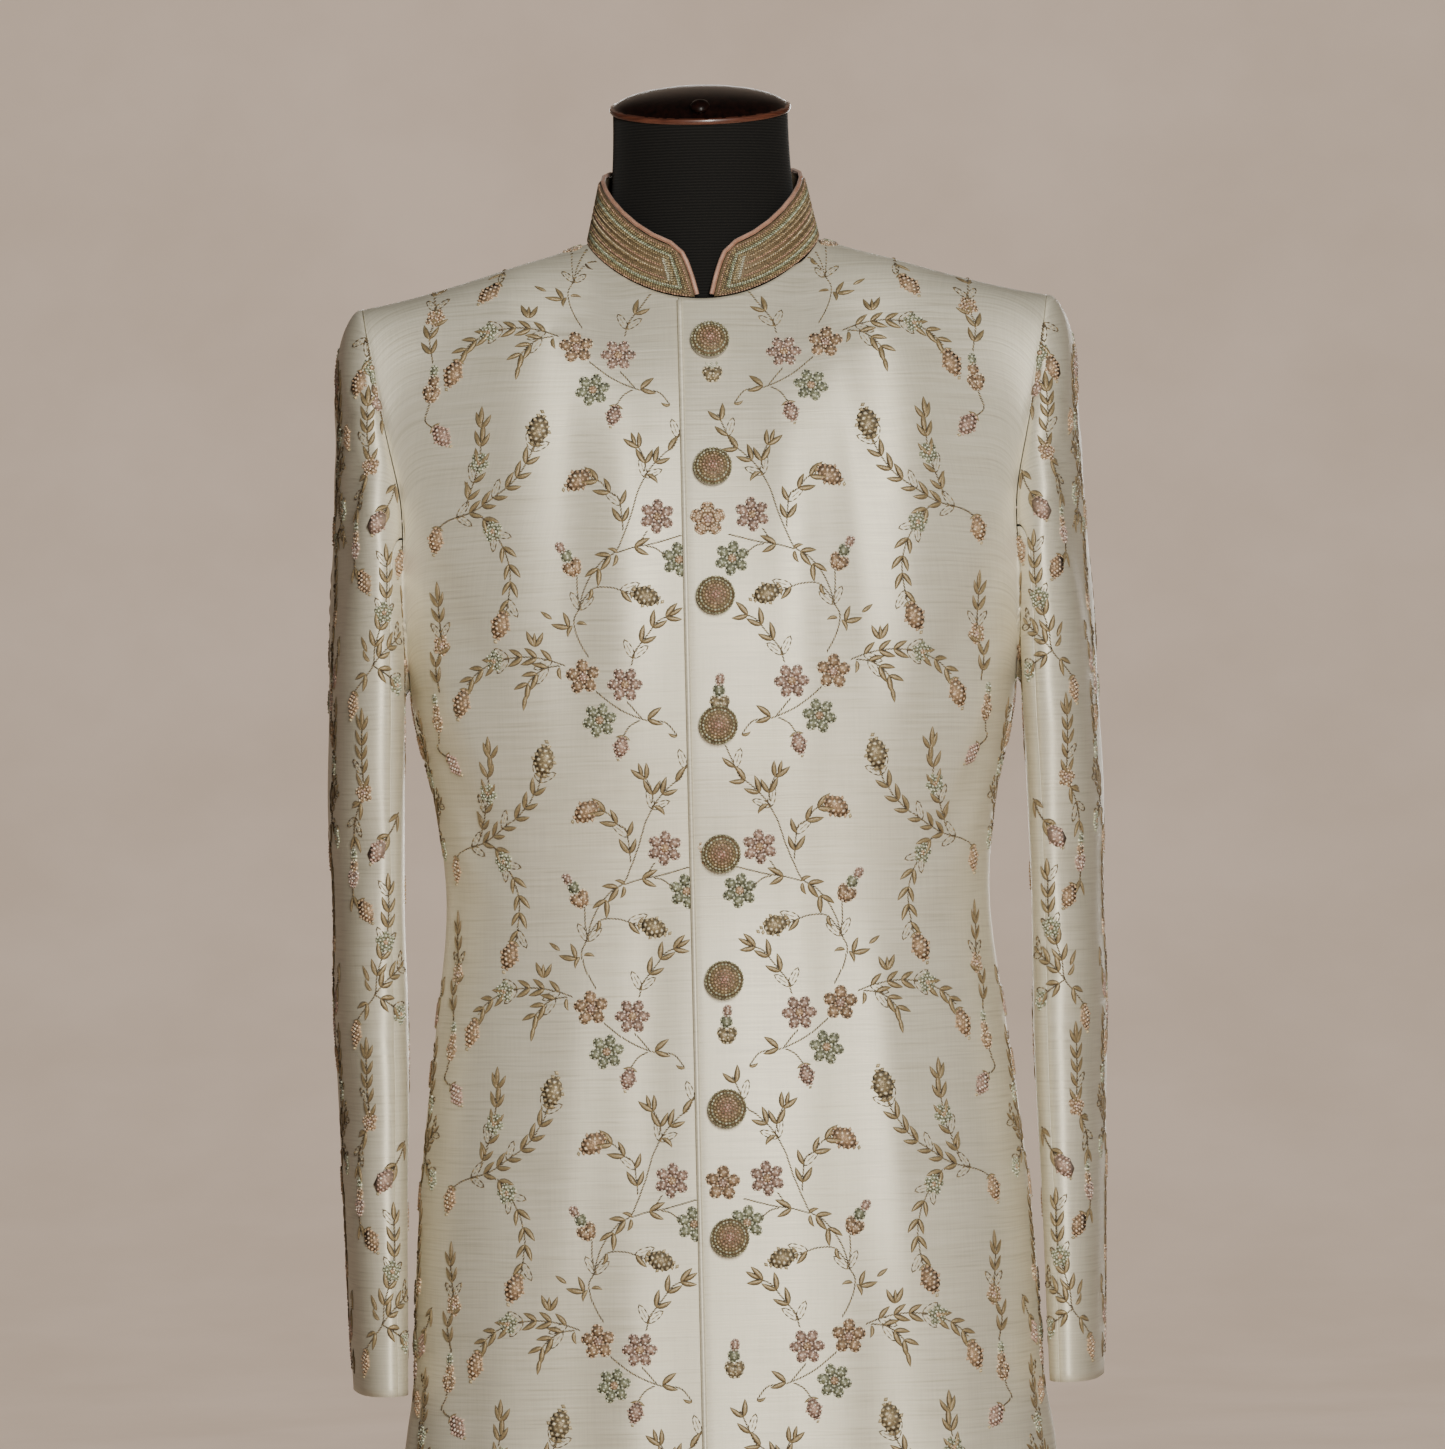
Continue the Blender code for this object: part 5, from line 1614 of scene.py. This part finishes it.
def smooth_path(points, pitch):
    """Places at an even pitch on a smooth curve through the points, with the heading at each."""
    points = np.array(points, float)
    padded = np.concatenate([points[:1] * 2 - points[1:2], points, points[-1:] * 2 - points[-2:-1]])
    fine = []
    for k in range(len(points) - 1):
        p0, p1, p2, p3 = padded[k : k + 4]
        for t in np.linspace(0, 1, 12, endpoint=False):
            fine.append(
                0.5 * (2 * p1 + (p2 - p0) * t + (2 * p0 - 5 * p1 + 4 * p2 - p3) * t**2
                       + (3 * p1 - p0 - 3 * p2 + p3) * t**3)
            )
    fine = np.array([*fine, points[-1]])
    length = path_lengths(fine)
    count = max(2, round(length[-1] / pitch))
    at = (np.arange(count) + 0.5) / count * length[-1]
    u = np.interp(at, length, fine[:, 0])
    v = np.interp(at, length, fine[:, 1])
    return list(zip(u, v, np.degrees(np.arctan2(np.gradient(v), np.gradient(u)))))


def loop_leaf(heading, length):
    """A leaf in outline only: a loop of dark twisted stitches round a pale vein."""
    found = []
    half_width = LOOP_WIDTH * length
    for k, turn in enumerate(math.radians(turn) for turn in LOOP_TURNS):
        a = length / 2 * (1 - math.cos(turn))
        b = half_width * math.sin(turn) * (1.15 - 0.3 * a / length)
        along = heading_of(length / 2 * math.sin(turn), half_width * math.cos(turn))
        place = offset(0.0, 0.0, heading, a, b)
        found.append(("twist", *place, heading + along, *LEAF_TWIST, BRONZE if k % 3 else TAN))
    for share in (0.38, 0.64):
        place = offset(0.0, 0.0, heading, share * length)
        found.append(("twist", *place, heading, *VEIN_TWIST, PALE_GOLD))
    return found


def pair_leaves(heading, looped):
    """Two leaves that spread from one place, as stitches and satin leaves."""
    first = (0.0, 0.0, heading - PAIR_SPREAD, LEAF_LENGTH, LEAF_BEND)
    second = (0.0, 0.0, heading + PAIR_SPREAD, 0.9 * LEAF_LENGTH, -LEAF_BEND)
    if looped == 0:
        return [], [first, second]
    found = loop_leaf(heading - PAIR_SPREAD, LEAF_LENGTH)
    if looped == 1:
        return found, [second]
    return found + loop_leaf(heading + PAIR_SPREAD, 0.95 * LEAF_LENGTH), []


def leafy_pairs(stems, leafy):
    """Pairs of leaves at an even pitch along the charted stems."""
    found = []
    for stem, low, high, onward in leafy:
        spots = smooth_path(stems[stem], 1.0)
        first = round(low * (len(spots) - 1))
        last = round(high * (len(spots) - 1))
        count = max(1, round((last - first) / PAIR_PITCH) + 1)
        for k in range(count):
            u, v, heading = spots[round(first + (last - first) * k / max(count - 1, 1))]
            found.append((u, v, heading if onward else heading + 180))
    return found


def chart_motifs(stems, leafy, pairs, leaves, smalls, grapes, hearts, flowers):
    """Each motif as its anchor, its stitches round the anchor and its leaves."""
    motifs = []
    for path in stems:
        for k, (u, v, heading) in enumerate(smooth_path(path, STEM_PITCH)):
            colour = TAN if k % 3 == 2 else BRONZE
            stitch = ("twist", 0.0, 0.0, heading + STEM_SLANT, *STEM_TWIST, colour)
            motifs.append(((u, v), [stitch], []))
    for k, (x, y, heading) in enumerate([*pairs, *leafy_pairs(stems, leafy)]):
        motifs.append(((x, y), *pair_leaves(heading, LOOPED[k % len(LOOPED)])))
    for x, y, *leaf in leaves:
        motifs.append(((x, y), [], [(0.0, 0.0, *leaf)]))
    for k, (x, y, tone) in enumerate(smalls):
        motifs.append(((x, y), flower_stitches(tone, SMALL_RADIUS, 5, 20 + 31 * k), []))
    for x, y, heading, tone, size in grapes:
        calyx = [(0.0, 0.0, heading + CALYX_SPREAD * s, CALYX_LENGTH, 0.3 * s) for s in (1, -1)]
        motifs.append(((x, y), grape_stitches(heading, tone, GRAPE_SCALE * size), calyx))
    for x, y, heading, tones in hearts:
        motifs.append(((x, y), heart_stitches(heading, tones), []))
    for k, (x, y, tone) in enumerate(flowers):
        petals = 6 if (k + len(tone)) % 2 else 5
        motifs.append(((x, y), flower_stitches(tone, FLOWER_RADIUS, petals, 14 + 47 * k), []))
    return motifs


# Stitch shapes

BEAD_SINK = 0.30
BEAD_FULL = 1.12
PAD_SIDES = 7
UNEVEN = 0.22


def bead_shape(sides, turned):
    """A closed bead of about unit half sizes, as points and triangles: a ring between two ends."""
    points = [(-BEAD_FULL, 0.0, 0.0), (BEAD_FULL, 0.0, 0.0)]
    faces = []
    for k in range(sides):
        angle = 2 * math.pi * (k + turned) / sides
        points.append((0.0, BEAD_FULL * math.cos(angle), BEAD_FULL * math.sin(angle)))
        a, b = 2 + k, 2 + (k + 1) % sides
        faces += [(0, b, a), (1, a, b)]
    return np.array(points), np.array(faces)


def pad_shape():
    """A closed low oval pad of unit half sizes, which carries the painted shade under the beads."""
    points = [(0.0, 0.0, 1.0), (0.0, 0.0, -0.6)]
    faces = []
    for k in range(PAD_SIDES):
        angle = 2 * math.pi * k / PAD_SIDES
        points.append((math.cos(angle), math.sin(angle), 0.2))
        a, b = 2 + k, 2 + (k + 1) % PAD_SIDES
        faces += [(0, a, b), (1, b, a)]
    return np.array(points), np.array(faces)


SHAPES = {"bead": bead_shape(4, 0.0), "twist": bead_shape(3, 0.75), "shade_pad": pad_shape()}
LEAF_STATIONS = ((0.0, 0.10), (0.14, 0.68), (0.36, 1.00), (0.62, 0.90), (0.86, 0.46), (1.0, 0.08))
LEAF_WIDTH = 0.165
LEAF_TURN = 75


class Stitches:
    """Beads and leaves gathered for one embroidered piece."""

    def __init__(self):
        self.points = []
        self.faces = []
        self.paint = []
        self.count = 0
        self.chance = np.random.default_rng(7)

    def add(self, points, faces, paint):
        self.points.append(points)
        self.faces.append(np.asarray(faces) + self.count)
        self.paint.append(paint)
        self.count += len(points)

    def add_shapes(self, kind, rows):
        """Each row: place, length direction, outward direction, three half sizes, colour."""
        if not rows:
            return
        shape, faces = SHAPES[kind]
        place, ahead, out, half, colour = (np.array(column, float) for column in zip(*rows))
        ahead = unit(ahead - out * np.sum(ahead * out, axis=1, keepdims=True))
        side = np.cross(out, ahead)
        place = place + out * (half[:, 2] * BEAD_SINK)[:, None]
        sized = shape[None] * half[:, None, :]
        points = place[:, None] + sized[..., :1] * ahead[:, None] + sized[..., 1:2] * side[:, None]
        points = points + sized[..., 2:] * out[:, None]
        count, size = len(rows), len(shape)
        index = faces[None] + (np.arange(count) * size)[:, None, None]
        colour = np.clip(colour * (1 + self.chance.uniform(-UNEVEN, UNEVEN, (count, 1))), 0, 1)
        self.add(points.reshape(-1, 3), index.reshape(-1, 3), np.repeat(colour, size, axis=0))

    def add_leaf(self, ground, frame_here, leaf):
        """A raised satin leaf: dark outline thread at its sides, a ridge painted paler as a highlight
        and lighter on one half, closed underneath.
        """
        u, v, heading, length, bend = leaf
        points = []
        paint = []
        for share, wide in LEAF_STATIONS:
            a = length * share * (1 - 0.12 * abs(bend))
            middle = offset(u, v, heading + 37 * bend * share, a)
            rise = 0.95 * math.sqrt(wide) + 0.05
            # The ridge rows are painted tan and gold over the bronze outline as a highlight, the gold
            # half lighter as painted light.
            for across, height, colour in (
                (1, 0.12, BRONZE), (0.35, rise, TAN), (-0.35, rise, GOLD), (-1, 0.12, BRONZE),
                (0, -0.35, BRONZE),
            ):
                off = across * LEAF_WIDTH * length * wide
                place = offset(*middle, heading + LEAF_TURN * bend * share, 0.0, off)
                spot = ground.lay(frame_here, *place)
                if spot is None:
                    return
                points.append(tuple(spot[0] + spot[1] * (height / 1000)))
                paint.append(colour)
        faces = []
        last = 5 * (len(LEAF_STATIONS) - 1)
        for a in range(0, last, 5):
            for j in range(5):
                m = (j + 1) % 5
                faces += [(a + j, a + m, a + 5 + m), (a + j, a + 5 + m, a + 5 + j)]
        for a, b, c in ((0, 1, 4), (1, 3, 4), (1, 2, 3)):
            faces += [(a, b, c), (last + c, last + b, last + a)]
        self.add(np.array(points), faces, np.array(paint))

    def finish(self, name):
        points = np.concatenate(self.points)
        obj = make_object(name, points, np.concatenate(self.faces), THREAD)
        face_outwards(obj)
        paint = obj.data.color_attributes.new("thread", "FLOAT_COLOR", "POINT")
        colours = np.concatenate(self.paint)
        colours = np.concatenate([colours, np.ones((len(colours), 1))], axis=1)
        paint.data.foreach_set("color", colours.astype(np.float32).ravel())
        return obj


# Where a flat place lies on the cloth

SLIDE = 0.0012
LAP_CLEAR = 0.0012
HEM_CLEAR = 0.012
COLLAR_CLEAR = 1.035
BUTTON_CLEAR = 0.0128
ARC_STEPS = 90
UP = Vector((0, 0, 1))


class Ground:
    """A cloth surface that takes embroidery: it lays flat places down and cuts them at its edges."""

    def __init__(self, grids, hand, keeps):
        points = []
        faces = []
        for grid in grids:
            faces += (grid_quads(*grid.shape[:2])[1] + len(points)).tolist()
            points += grid.reshape(-1, 3).tolist()
        self.tree = BVHTree.FromPolygons(points, faces)
        self.hand = hand
        self.keeps = keeps

    def frame_at(self, location, normal, away, sense):
        """A place with its outward direction and the cloth's directions from the centre and up."""
        if normal.dot(away) < 0:
            normal = -normal
        level = UP.cross(normal).normalized()
        return location, normal, level * sense, normal.cross(level)

    def lay(self, here, u, v):
        """The cloth's place and outward direction at a flat offset in millimetres, or None."""
        place, out, level, rise = here
        base = place + level * (u / 1000) + rise * (v / 1000)
        location, normal, _, _ = self.tree.find_nearest(base)
        if normal.dot(out) < 0:
            normal = -normal
        apart = base - location
        slide = apart - normal * apart.dot(normal)
        if slide.length > SLIDE or not self.keeps(location):
            return None
        return location, normal


ARCS = {}


def turn_at(kind, ring, arc, height):
    """The turn, in radians, at an arc length from the zero of a level ring."""
    level = round(height, 2)
    if (kind, level) not in ARCS:
        turns = np.linspace(-math.pi, math.pi, 2 * ARC_STEPS + 1)
        length = path_lengths(np.array([tuple(ring(turn, level)) for turn in turns]))
        ARCS[kind, level] = (length - length[ARC_STEPS], turns)
    return float(np.interp(arc, *ARCS[kind, level]))


def body_frame(ground, side, arc, height):
    """Where a place of the body's chart lies, from its arc length and height."""
    level = min(height, ARMPIT_Z)
    turn = turn_at(side, lambda t, z: ring_point(t, z, side), arc, level)
    if turn > QUARTER:
        return None
    point = ring_point(turn, level, side)
    point.x *= ground.hand
    if height <= ARMPIT_Z:
        location, normal, _, _ = ground.tree.find_nearest(point)
    else:
        aim = Vector((point.x, side, height))
        location, normal, _, _ = ground.tree.ray_cast(aim, Vector((0, -side, 0)))
    if location is None:
        return None
    away = Vector((location.x, location.y, 0))
    return ground.frame_at(location, normal, away, -side * ground.hand)


def sleeve_ring(turn, height):
    """The sleeve's ring with zero at its front ridge, growing to the outside of the arm."""
    return sleeve_section(90 - math.degrees(turn), height)[0]


def sleeve_frame(ground, arc, height):
    turn = turn_at("sleeve", sleeve_ring, arc, height)
    point, middle = sleeve_section(90 - math.degrees(turn), height)
    point.x *= ground.hand
    middle.x *= ground.hand
    location, normal, _, _ = ground.tree.find_nearest(point)
    return ground.frame_at(location, normal, location - middle, ground.hand)


def body_keeps(hand):
    buttons = [(BUTTON_X, TOP_BUTTON_Z - k * BUTTON_SPACING) for k in range(BUTTON_COUNT)]

    def keeps(place):
        neck = (place.x / NECK_HALF_WIDTH, (place.y - NECK_MIDDLE_Y) / NECK_HALF_DEPTH)
        if place.z < HEM_Z + HEM_CLEAR or math.hypot(*neck) < COLLAR_CLEAR:
            return False
        if place.y > 0:
            return place.x * hand > LAP_CLEAR
        if hand < 0:
            return place.x < -LAP_REACH - LAP_CLEAR
        if place.x < -LAP_REACH + LAP_CLEAR:
            return False
        return all(math.hypot(place.x - x, place.z - z) > BUTTON_CLEAR for x, z in buttons)

    return keeps


def sleeve_keeps(place):
    return CUFF_Z + HEM_CLEAR < place.z


def sew(stitches, ground, frame_here, beads, leaves):
    rows = {kind: [] for kind in SHAPES}
    for kind, u, v, heading, *half, colour in beads:
        spot = ground.lay(frame_here, u, v)
        if spot is None:
            continue
        angle = math.radians(heading)
        ahead = frame_here[2] * math.cos(angle) + frame_here[3] * math.sin(angle)
        half = tuple(size / 1000 for size in half)
        rows[kind].append((tuple(spot[0]), tuple(ahead), tuple(spot[1]), half, colour))
    for kind, found in rows.items():
        stitches.add_shapes(kind, found)
    for leaf in leaves:
        stitches.add_leaf(ground, frame_here, leaf)


VINE = chart_motifs(STEMS, LEAFY, PAIRS, LEAVES, SMALLS, GRAPES, HEARTS, FLOWERS)
CENTRE = chart_motifs((), (), (), (), (), (), CENTRE_HEARTS, CENTRE_FLOWERS)
SPRAY = chart_motifs(
    SLEEVE_STEMS, SLEEVE_LEAFY, SLEEVE_PAIRS, SLEEVE_LEAVES, SLEEVE_SMALLS, SLEEVE_GRAPES,
    SLEEVE_HEARTS, (),
)
# Sprays, each with its arc in millimetres from the centre line or the front ridge, and its rise
SIDE_SPRAYS = ((235.0, -58.0), (283.0, 46.0))
SLEEVE_COLUMNS = ((2.0, 50.0), (76.0, -48.0), (150.0, 40.0), (-72.0, -70.0))
SIDE_ARC = 0.20
SIDE_TOP_Z = 1.165
BODY_TOP_Z = 1.48
SLEEVE_TOP_Z = 1.405
REPEATS = range(-5, 3)
HANDS = (("left", 1), ("right", -1))


def embroider_body(grids):
    for word, hand in HANDS:
        sheets = [grids[f"front_{word}"], grids[f"back_{word}"]]
        ground = Ground(sheets, hand, body_keeps(hand))
        for view, side in (("front", -1), ("back", 1)):
            stitches = Stitches()
            shift = MIRROR_SHIFT if (hand < 0 and side < 0) else 0.0
            jobs = [(motif, shift, 0.0) for motif in VINE]
            if hand > 0 or side > 0:
                jobs += [(motif, 0.0, 0.0) for motif in CENTRE]
            for arc, rise in SIDE_SPRAYS:
                jobs += [(motif, arc / 1000, rise / 1000) for motif in SPRAY]
            for repeat in REPEATS:
                for (anchor, beads, leaves), across, rise in jobs:
                    height = REPEAT_MIDDLE_Z + anchor[1] / 1000 + rise + repeat * REPEAT
                    if not HEM_Z < height < (SIDE_TOP_Z if across > SIDE_ARC else BODY_TOP_Z):
                        continue
                    here = body_frame(ground, side, anchor[0] / 1000 + across, height)
                    if here:
                        sew(stitches, ground, here, beads, leaves)
            dress(stitches.finish(f"embroidery_{view}_{word}"), "embroidery_gold")


def embroider_sleeves(grids):
    for word, hand in HANDS:
        sheets = [grids[f"sleeve_top_{word}"], grids[f"sleeve_under_{word}"]]
        ground = Ground(sheets, hand, sleeve_keeps)
        stitches = Stitches()
        for arc, rise in SLEEVE_COLUMNS:
            for repeat in REPEATS:
                for anchor, beads, leaves in SPRAY:
                    height = REPEAT_MIDDLE_Z + (anchor[1] + rise) / 1000 + repeat * REPEAT
                    if not CUFF_Z < height < SLEEVE_TOP_Z:
                        continue
                    here = sleeve_frame(ground, (anchor[0] + arc) / 1000, height)
                    sew(stitches, ground, here, beads, leaves)
        dress(stitches.finish(f"embroidery_sleeve_{word}"), "embroidery_gold")


# Studio

CAMERA_DISTANCE = 6.0
CAMERA_LENS = 228.0
CAMERA_AIM = (0.0055, 1.154)
CAMERA_ROLL = 0.0225
FLOOR_HALF = 15.0
BACKDROP_Y = 13.5
BACKDROP_TOP = 12.0
SWEEP_RADIUS = 4.0
SWEEP_STEPS = 12
COAT_MIDDLE = (0.0, 0.0, 1.1)
LIGHTS = (
    # name, place, aim, size, power, colour
    ("key", (0.55, -3.3, 1.9), COAT_MIDDLE, (0.6, 1.3), 114.0, (1.0, 0.967, 0.90)),
    ("left_fill", (-2.6, -1.4, 1.5), COAT_MIDDLE, (1.0, 1.8), 0.8, (1.0, 0.91, 0.80)),
    ("right_fill", (2.6, -1.2, 1.5), COAT_MIDDLE, (1.0, 1.8), 0.8, (1.0, 0.91, 0.80)),
    ("backdrop_wash", (0.0, 7.0, 7.0), (0.0, 13.5, 1.2), (8.0, 1.2), 540.0, (1.0, 0.965, 0.93)),
    ("back_fill", (0.3, 3.2, 1.5), COAT_MIDDLE, (1.6, 1.6), 60.0, (1.0, 0.985, 0.96)),
)
AIR_COLOUR = (1.0, 0.94, 0.86, 1.0)
AIR_STRENGTH = 0.04


def make_backdrop():
    """One plain sweep: a pale floor that curves up into a wall."""
    bpy.ops.mesh.primitive_grid_add(x_subdivisions=2, y_subdivisions=2, size=2 * FLOOR_HALF)
    sweep = bpy.context.object
    sweep.name = "studio_sweep"
    bm = bmesh.new()
    foot = BACKDROP_Y - SWEEP_RADIUS
    profile = [(-FLOOR_HALF, 0.0), (foot, 0.0)]
    for k in range(1, SWEEP_STEPS + 1):
        angle = QUARTER * k / SWEEP_STEPS
        rise = SWEEP_RADIUS * (1 - math.cos(angle))
        profile.append((foot + SWEEP_RADIUS * math.sin(angle), rise))
    profile.append((BACKDROP_Y, BACKDROP_TOP))
    left, right = (
        [bm.verts.new((x, y, z)) for y, z in profile] for x in (-FLOOR_HALF, FLOOR_HALF)
    )
    for k in range(len(profile) - 1):
        bm.faces.new((left[k], right[k], right[k + 1], left[k + 1]))
    bm.to_mesh(sweep.data)
    bm.free()
    sweep.data.shade_smooth()
    sweep.data.materials.append(make_finish(
        "studio sweep", {"mottle": (2.2, 4.0, 0.6)},
        ("mottle", (0.35, (0.62, 0.505, 0.415)), (0.65, (0.67, 0.555, 0.46))),
        Roughness=0.9, Specular_IOR_Level=0.1,
    ))


def make_studio_light():
    world = bpy.data.worlds.new("studio air")
    bpy.context.scene.world = world
    world.use_nodes = True
    background = world.node_tree.nodes["Background"]
    background.inputs["Color"].default_value = AIR_COLOUR
    background.inputs["Strength"].default_value = AIR_STRENGTH
    for name, place, aim, size, power, colour in LIGHTS:
        light = bpy.data.lights.new(name, "AREA")
        light.shape = "RECTANGLE"
        light.size, light.size_y = size
        light.energy = power
        light.color = colour
        obj = bpy.data.objects.new(name, light)
        obj.location = place
        obj.rotation_euler = (Vector(aim) - Vector(place)).to_track_quat("-Z", "Y").to_euler()
        bpy.context.scene.collection.objects.link(obj)


def make_camera():
    camera = bpy.data.cameras.new("photo_view")
    camera.lens = CAMERA_LENS
    camera.sensor_width = 36.0
    camera.clip_start = 0.05
    obj = bpy.data.objects.new("photo_view", camera)
    obj.location = (CAMERA_AIM[0], -CAMERA_DISTANCE, CAMERA_AIM[1])
    obj.rotation_euler = (QUARTER, CAMERA_ROLL, 0.0)
    bpy.context.scene.collection.objects.link(obj)
    bpy.context.scene.camera = obj


body_grids = make_body()
sleeve_grids = make_sleeves()
embroider_body(body_grids)
embroider_sleeves(sleeve_grids)
make_lap_edge(body_grids["front_left"])
make_collar_base()
make_collar_rows()
make_buttons()
make_torso()
make_neck_cap()
for node, finish in (("form_pole", STAND), ("form_base", STAND), ("collar_piping", PIPING)):
    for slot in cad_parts[node].material_slots:
        slot.material = finish
make_backdrop()
make_studio_light()
make_camera()
deselect_all()
